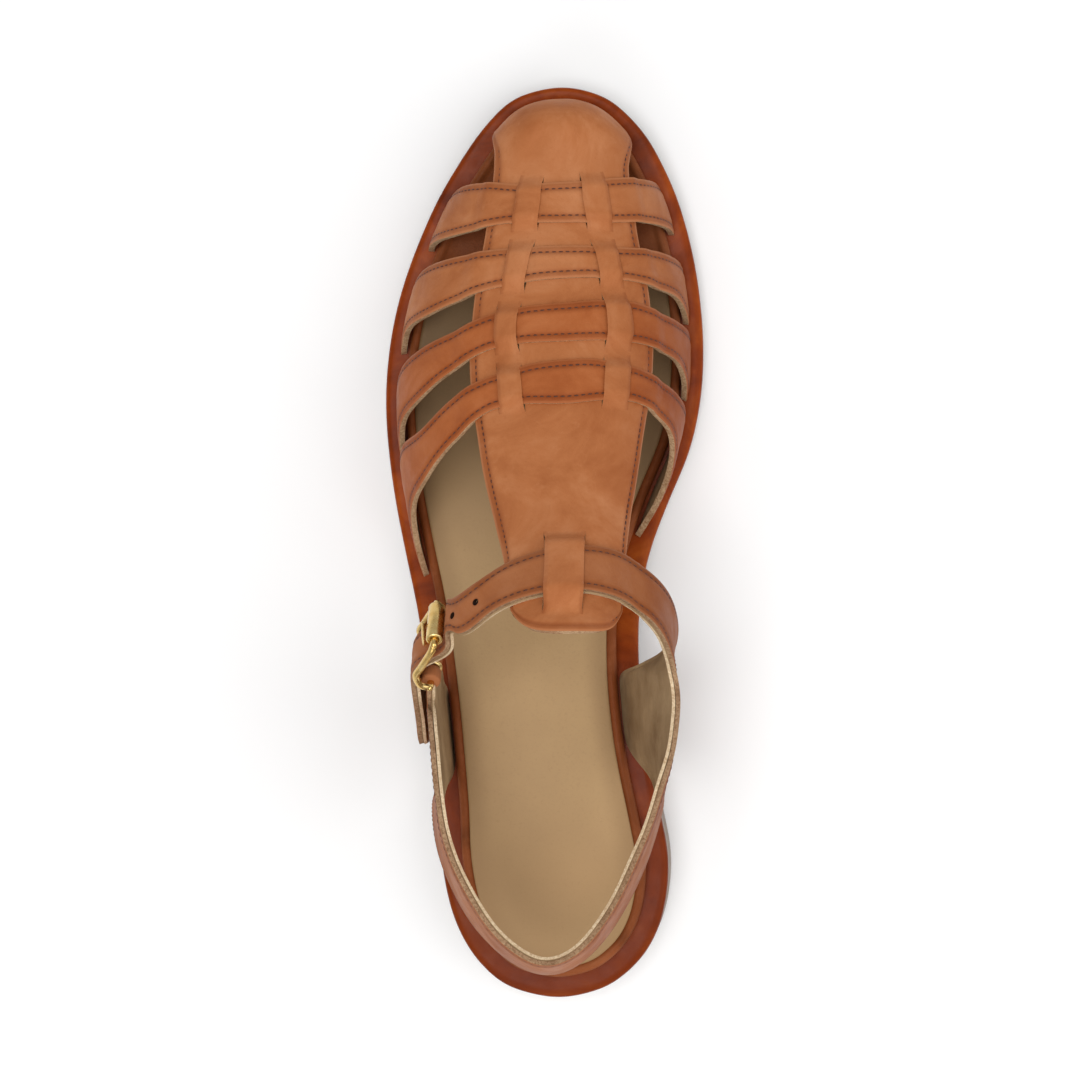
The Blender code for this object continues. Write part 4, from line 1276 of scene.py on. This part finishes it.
def make_panel_piece():
    """Toe cap, panel and tongue in one, slit along the strips that stand off it."""
    blocks = panel_blocks()
    from_sides = from_edges(np.concatenate([block[-1] for block in blocks], 1), (True, False))
    points = []
    edges = []
    seams = []
    index_of = []
    total = 0
    column = 0
    previous = None
    for station, lift, grid in blocks:
        columns = grid.shape[1]
        outer_distance = from_sides[:, column:column + columns]
        column += columns
        free = lift > 1e-6
        inner = from_edges(grid)
        edge = np.where(free, np.minimum(inner, outer_distance), outer_distance)
        drop = edge_shape(outer_distance) * np.where(free, 0.0, 1.0)
        drop = drop + np.where(free, edge_shape(edge, False) * ease(lift), 0.0)
        drop = drop + crease_depth(grid) + ripple(grid, PANEL_RIPPLE)
        above = grid[..., 2] - welt_top(np.clip(station, 0, 1))
        seat = ease((above - plain_above_welt) / plain_run)
        moved = clear_of_sole(grid + outward_normals(grid) * (drop * seat)[..., None])
        moved[-1, :, 2] = welt_top(np.clip(station[-1], 0, 1)) + seat_gap
        seam = np.where(free, 0.0, seam_shade(outer_distance))
        index = np.arange(total, total + grid.shape[0] * columns).reshape(-1, columns)
        if previous is not None:
            joined = ~(free[:, 0] | previous[1])
            index[:, 0] = np.where(joined, previous[0], index[:, 0])
        points.append(moved.reshape(-1, 3))
        edge = np.where(free, np.maximum(edge * 3.0, outer_distance * 0.2), edge)
        edges.append(edge.ravel())
        seams.append(seam.ravel())
        index_of.append(index)
        previous = (index[:, -1], free[:, 0])
        total += grid.shape[0] * columns
    faces = []
    for index in index_of:
        quads = np.stack([index[:-1, :-1], index[:-1, 1:], index[1:, 1:], index[1:, :-1]], -1)
        faces += quads.reshape(-1, 4).tolist()
    points = np.concatenate(points)
    piece = mesh_piece("upper_panel", points, faces, [TAN, BROWN, FIBRE],
                       {"edge": np.concatenate(edges), "seam": np.concatenate(seams)})
    shape = to_bmesh(piece)
    loose = [v for v in shape.verts if not v.link_faces]
    bmesh.ops.delete(shape, geom=loose, context="VERTS")
    middle = max(shape.faces, key=lambda face: face.calc_center_median().z)
    if middle.normal.z < 0:
        bmesh.ops.reverse_faces(shape, faces=shape.faces)
    from_bmesh(shape, piece)
    thicken(piece, panel_skin)
    return finish_piece(piece, "upper", "upper")


make_panel_piece()


def strap_height(station, angle):
    """Outer face of a cross strap over the last: on the panel, dipping under its strips."""
    outer, inner = along(PANEL_EDGES, 1, station), along(PANEL_EDGES, 2, station)
    over = ease((np.minimum(angle - outer, inner - angle) + PANEL_RAMP) / PANEL_RAMP)
    return strap_wall - strap_press + (panel_wall - panel_press) * relief * over


seam_lines = []


def side_lines(grid, normals, distance, first=0, last=None):
    """Lines on a sheet at that distance from its two sides, with the sheet's normals."""
    across = distances(grid, 1)
    total = across[:, -1]
    rows = range(len(grid))[first:last]
    lines = []
    for wanted in (np.full(len(grid), distance), total - distance):
        place = np.clip(wanted, 0, total)
        lines.append([np.array([sample(sheet[row], across[row], place[row]) for row in rows])
                      for sheet in (grid, normals)])
    return lines


def make_strap_piece(index):
    """Cross strap with round edges, a soft crown, and dips under the panel's strips."""
    angles = np.linspace(0.0, 180.0, STRAP_ROWS)[:, None]
    shares = np.linspace(0.0, 1.0, STRAP_COLUMNS)
    front, rear = strap_edges(index, angles)
    station = front + (rear - front) * shares
    angle = angles * np.ones_like(shares)
    grid = on_last(station, angle, strap_height(station, angle))
    normals = outward_normals(grid)
    edge = from_edges(grid)
    drop = edge_shape(edge) + ripple(grid, STRAP_RIPPLE, index)
    drop = drop + strap_crown * hump(edge, crown_from_edge, crown_width)
    strips = [along(SLITS, k, station) for k in (1, 2, 3, 4)]
    for low, high in ((strips[0], strips[1]), (strips[2], strips[3])):
        under = ease((angle - low + DIP_MARGIN) / DIP_RUN)
        under = under * ease((high - angle + DIP_MARGIN) / DIP_RUN)
        drop = drop - strap_dip * under
    grid = clear_of_sole(grid + normals * drop[..., None])
    # Straps 3 and 4 take the darker copy as painted shade.
    outside = SHADED_TAN if index in (2, 3) else TAN
    piece = leather_sheet(f"cross_strap_{index + 1}", grid, normals, strap_skin,
                          [outside, BEIGE, FIBRE], edge, {"seam": seam_shade(edge)})
    seam_lines.extend(side_lines(grid, normals, stitch_from_edge, *STRAP_STITCHED))
    return finish_piece(piece, "upper", "upper")


for strap in range(STRAP_COUNT):
    make_strap_piece(strap)


def panel_stitch_lines():
    """Rows of stitches along the panel's sides and round the end of the tongue."""
    first = PANEL_REAR + stitch_from_edge / sole_length
    stations = np.arange(first, STITCH_TIP, 0.3 / sole_length)
    lines = panel_columns(stations)
    shares = np.linspace(0.0, 1.0, STITCH_COLUMNS)
    angle = lines[0][:, None] * (1 - shares) + lines[5][:, None] * shares
    station = tongue_round(np.repeat(stations[:, None], STITCH_COLUMNS, 1), shares[None, :])
    grid = on_last(station, angle, panel_wall - stitch_dent)
    normals = outward_normals(grid)
    rows = side_lines(grid, normals, stitch_from_edge)
    kept = np.abs(angle[0] - angle[0, 0]) * girth_per_degree > stitch_from_edge
    kept &= np.abs(angle[0] - angle[0, -1]) * girth_per_degree > stitch_from_edge
    rows.append((grid[0][kept], normals[0][kept]))
    return rows


seam_lines.extend(panel_stitch_lines())


# Rear quarter and ankle strap


def seat_of_ankle():
    """Height of the footbed at the heel, from which the quarter's heights count."""
    return float(footbed_top(0.1))


def buckle_point(sideways, down_strap, outwards):
    """Place on the buckle: along the roller, down the strap and out from the ankle."""
    tilt = math.radians(ROLLER_TILT)
    roller = np.array([0.0, -math.cos(tilt), math.sin(tilt)])
    down = np.array([0.0, -math.sin(tilt), -math.cos(tilt)])
    out_way = np.array([-1.0, 0.0, 0.0])
    centre = np.array([BUCKLE_CENTRE[0] * ball_width, BUCKLE_CENTRE[1] * sole_length,
                       seat_of_ankle() + BUCKLE_CENTRE[2] * ankle_height])
    return centre + roller * sideways + down * down_strap + out_way * outwards


def quarter_point(share_x, station, share_z, slot_side):
    """Point of the quarter; without a sideways share it stands in the slot on that side."""
    if share_x is None:
        place = station * sole_length
        x = float(edge_at(upper_inset, place, slot_side > 0))
        return np.array([x, place, float(welt_top(np.array(station))) + seat_gap])
    return np.array([share_x * ball_width, station * sole_length,
                     seat_of_ankle() + share_z * ankle_height])


def quarter_rows():
    """Upper and lower edge of the quarter and its strap, from the buckle to the tip."""
    beside = BASE_BAR_OUT - quarter_wall / 2
    rows = [(buckle_point(strap_half_width, strap_start, beside),
             buckle_point(-strap_half_width, strap_start, beside))]
    for row in QUARTER:
        rows.append((quarter_point(row[0], row[1], row[2], row[0]),
                     quarter_point(row[3], row[4], row[5], row[0])))
    for angle, front, rear in INSTEP_CROSSING:
        lift = panel_wall + seat_gap
        rows.append((on_last(rear, angle, lift), on_last(front, angle, lift)))
    for row in STRAP_DESCENT:
        rows.append((quarter_point(*row[0:3], -1), quarter_point(*row[3:6], -1)))
    for down, away, width in FREE_END:
        half = strap_half_width * width
        away = away - quarter_wall / 2
        rows.append((buckle_point(half, down, away), buckle_point(-half, down, away)))
    return [np.concatenate(pair) for pair in rows]


def tube(name, start, end, radius, material, inner=0.0, sides=40, rounding=0.35):
    """Round bar or tube between two points, with rounded ends."""
    start, end = np.array(start, float), np.array(end, float)
    axis = unit(end - start)
    side = unit(np.cross(axis, [1.0, 0.2, 0.1]))
    other = np.cross(axis, side)
    length = np.linalg.norm(end - start)
    bend = rounding * 0.3
    end_profile = [(0.0, inner), (0.0, radius - rounding), (bend, radius - bend),
                   (rounding, radius)]
    profile = end_profile + [(length / 2, radius)]
    profile += [(length - at, wide) for at, wide in reversed(end_profile)]
    cosine, sine = circle(sides)
    points = [start + axis * at + (side * cosine + other * sine) * wide for at, wide in profile]
    faces = grid_faces(len(profile), sides, closed_rows=inner > 0, closed_columns=True)
    piece = mesh_piece(name, np.concatenate(points), faces, [material])
    face_out(piece, merge=1e-7)
    return piece


def calm(rows, width):
    """Rows averaged with their neighbours, with both ends kept."""
    padded = np.concatenate([2 * rows[:1] - rows[width:0:-1], rows,
                             2 * rows[-1:] - rows[-2:-width - 2:-1]])
    return sum(weight * padded[k:k + len(rows)]
               for k, weight in enumerate(averaging(width, width * 0.5)))


def make_quarter_piece():
    """Rear quarter and ankle strap: leather and lining with the strap's punched holes."""
    rows = calm(smooth_rows(quarter_rows(), ROW_STEPS), ROW_CALM)
    shares = np.linspace(0.0, 1.0, QUARTER_COLUMNS)[None, :, None]
    here = rows[:, None, :3] * (1 - shares) + rows[:, None, 3:] * shares
    run = np.gradient(here, axis=0)
    across = (rows[:, :3] - rows[:, 3:])[:, None, :]
    normals = unit(np.cross(run, np.broadcast_to(across, run.shape)))
    grid = here + normals * quarter_wall
    edge = from_edges(grid, (False, True))
    drop = edge_shape(edge) + ripple(grid, QUARTER_RIPPLE)
    grid = clear_of_sole(grid + normals * drop[..., None])
    leather_side = leather_sheet("quarter_leather", grid, normals, quarter_skin,
                                 [QUARTER_TAN, CORE, CORE], edge, {"seam": seam_shade(edge)})
    inner_grid = clear_of_sole(grid - normals * (quarter_skin - drop[..., None] * LINING_FOLLOWS))
    lining_side = leather_sheet("quarter_lining", inner_grid, normals, lining_skin,
                                [BEIGE, BEIGE, LINED_FIBRE], edge)
    seam_lines.extend(side_lines(grid, normals, stitch_from_edge, *QUARTER_STITCHED))
    middle = here[:, here.shape[1] // 2]
    gone = distances(middle[:, None], 0)[:, 0]
    roller_row = (len(quarter_rows()) - len(FREE_END) + 1) * ROW_STEPS
    column = grid.shape[1] // 2
    for piece, sheet in ((leather_side, grid), (lining_side, inner_grid)):
        for before in HOLES:
            row = int(np.searchsorted(gone, gone[roller_row] - before))
            punch(piece, sheet[row, column], normals[row, column])
        finish_piece(piece, "quarter", "rear_quarter")


def punch(piece, centre, way):
    """Round hole in a sheet of leather that has no thickness yet."""
    shape = to_bmesh(piece)
    middle = Vector(world(centre))
    near = [v for v in shape.verts if (v.co - middle).length < HOLE_CLEAR * hole_radius * MM]
    bmesh.ops.delete(shape, geom=near, context="VERTS")
    border = []
    for side in shape.edges:
        halfway = (side.verts[0].co + side.verts[1].co) / 2
        if side.is_boundary and (halfway - middle).length < HOLE_NEAR * hole_radius * MM:
            border.append(side)
    first = unit(np.cross(way, [0.0, 0.0, 1.0]))
    second = np.cross(way, first)
    edge = shape.verts.layers.float["edge"]
    hole = shape.verts.layers.float.get("hole") or shape.verts.layers.float.new("hole")
    cosine, sine = circle(HOLE_SIDES)
    ring = []
    for point in world(centre + (first * cosine + second * sine) * hole_radius):
        ring.append(shape.verts.new(point))
        # The hole's border is marked for painted shade.
        ring[-1][edge] = hole_shade_edge
        ring[-1][hole] = 1.0
    rim = [shape.edges.new((ring[k - 1], ring[k])) for k in range(HOLE_SIDES)]
    faces = bmesh.ops.bridge_loops(shape, edges=border + rim)["faces"]
    for face in faces:
        face.smooth = True
        face.normal_update()
        if face.normal.dot(Vector(way)) < 0:
            face.normal_flip()
    from_bmesh(shape, piece)


make_quarter_piece()

for number, (low, high) in enumerate(STRAP_FOLDS):
    wrap = tube(f"strap_fold_{number + 1}", buckle_point(low, frame_length, BASE_BAR_OUT),
                buckle_point(high, frame_length, BASE_BAR_OUT), fold_radius, QUARTER_TAN,
                rounding=fold_rounding)
    finish_piece(wrap, "quarter", "rear_quarter")


# Buckle


def bow(down_strap):
    """How far the frame's sides lean out towards the corner beside the base bar."""
    share = min(max(down_strap / frame_length, 0.0), 1.0)
    lean = share / CORNER_AT if share < CORNER_AT else (1 - share) / (1 - CORNER_AT)
    soft = ease(lean) * (1 - BOW_LINEAR) + lean * BOW_LINEAR
    return BASE_BAR_OUT * share + SIDE_BOW * soft


def wire(name, points, radius, cyclic=False, radii=None):
    """Round wire through points as a curve."""
    curve = bpy.data.curves.new(name, "CURVE")
    curve.dimensions = "3D"
    curve.bevel_depth = radius * MM
    curve.bevel_resolution = 8
    curve.use_fill_caps = True
    spline = curve.splines.new("POLY")
    spline.points.add(len(points) - 1)
    placed = world(np.array(points))
    for k, (target, point) in enumerate(zip(spline.points, placed)):
        target.co = (*point, 1.0)
        target.radius = 1.0 if radii is None else radii[k]
    spline.use_cyclic_u = cyclic
    curve.materials.append(BRASS)
    return show(name, curve)


def frame_path():
    """Closed path of the buckle's wire, its sides leaning out."""
    half = frame_half_width
    corner = frame_corner
    cut = corner * 0.3
    first = [(half, down) for down in (corner, *FRAME_SIDE, frame_length - corner)]
    first += [(half - cut, frame_length - cut), (half - corner, frame_length),
              (corner - half, frame_length), (cut - half, frame_length - cut)]
    second = [(-across, frame_length - down) for across, down in first]
    return [buckle_point(across, down, bow(down)) for across, down in first + second]


frame_line = smooth_rows(frame_path(), WIRE_STEPS, closed=True)
finish_piece(wire("buckle_wire", frame_line, wire_radius, cyclic=True), "buckle", "buckle_frame")

half_roller = roller_length / 2 - roller_short
roller = tube("buckle_tube", buckle_point(-half_roller, 0, 0), buckle_point(half_roller, 0, 0),
              roller_radius, BRASS, inner=wire_radius + seat_gap, sides=64)
finish_piece(roller, "buckle", "buckle_roller")


def prong_path():
    """Path of the buckle's tongue, from its eye round the base bar to its tip."""
    eye = wire_radius + seat_gap + prong_radius
    path = []
    for degrees in PRONG_EYE:
        turn = math.radians(degrees)
        path.append(buckle_point(0, frame_length + eye * math.sin(turn),
                                 BASE_BAR_OUT + eye * math.cos(turn)))
    rest = roller_radius + seat_gap + prong_radius
    path += [buckle_point(0, down, out) for down, out in PRONG_RUN]
    path += [buckle_point(0, down, rest) for down in PRONG_ON_ROLLER]
    return smooth_rows(path, PRONG_STEPS)


prong_line = prong_path()
taper = np.clip(np.arange(len(prong_line))[::-1] / TAPER_POINTS, 0.0, 1.0)
prong = wire("buckle_tongue", prong_line, prong_radius,
             radii=PRONG_TIP + (1 - PRONG_TIP) * taper)
finish_piece(prong, "buckle", "buckle_prong")

stitched = make_stitches("stitches", seam_lines, THREAD, STITCH_SEED)
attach(stitched, "root")


# Studio: lamps with their place in metres, width in metres and power in watts
LIGHTS = (
    ("key", (-0.15, -0.05, 1.38), 0.8, 8.2),
    ("fill", (0.9, -0.2, 1.0), 1.2, 5.0),
    ("back", (-0.2, -1.0, 0.9), 0.9, 3.2),
)
SKY = (1.0, 1.0, 1.0, 1.0)
SKY_STRENGTH = 0.5
FLOOR_TONE = (0.95, 0.95, 0.95, 1.0)
FLOOR_SIZE = 6.0
FLOOR_UNDER = 0.0002


def make_floor():
    """Pale ground just under the sole, for the picture only."""
    look = Finish("pale_floor")
    look.fill(look.shader, {"Base Color": FLOOR_TONE, "Roughness": 0.9})
    bpy.ops.mesh.primitive_plane_add(size=FLOOR_SIZE, location=(0, 0, -FLOOR_UNDER))
    floor = bpy.context.object
    floor.name = "floor"
    floor.data.materials.append(look.material)


def make_light(name, place, size, power):
    """Round lamp that looks at the middle of the row frame."""
    lamp = bpy.data.lights.new(name, "AREA")
    lamp.shape = "DISK"
    lamp.size = size
    lamp.energy = power
    holder = show(name, lamp)
    holder.location = place
    holder.rotation_mode = "QUATERNION"
    holder.rotation_quaternion = (-Vector(place)).to_track_quat("-Z", "Y")


make_floor()
for light in LIGHTS:
    make_light(*light)

sky = bpy.data.worlds.new("sky")
sky.use_nodes = True
sky.node_tree.nodes["Background"].inputs["Color"].default_value = SKY
sky.node_tree.nodes["Background"].inputs["Strength"].default_value = SKY_STRENGTH
bpy.context.scene.world = sky
bpy.context.scene.view_settings.view_transform = "Standard"

# Camera of the photo: over the gap between the two shoes, turned to the middle of this shoe
# at a point 30 mm over the ground
CAMERA_PLACE = (0.046, -0.0112, 0.915)
CAMERA_OVER_AIM = 0.885
lens = bpy.data.cameras.new("camera")
lens.lens = 106.0
lens.sensor_width = 36.0
lens.clip_start = 0.05
camera = show("camera", lens)
camera.location = CAMERA_PLACE
camera.rotation_euler = (math.atan2(-CAMERA_PLACE[1], CAMERA_OVER_AIM),
                         math.atan2(CAMERA_PLACE[0], CAMERA_OVER_AIM), 0.0)
bpy.context.scene.camera = camera
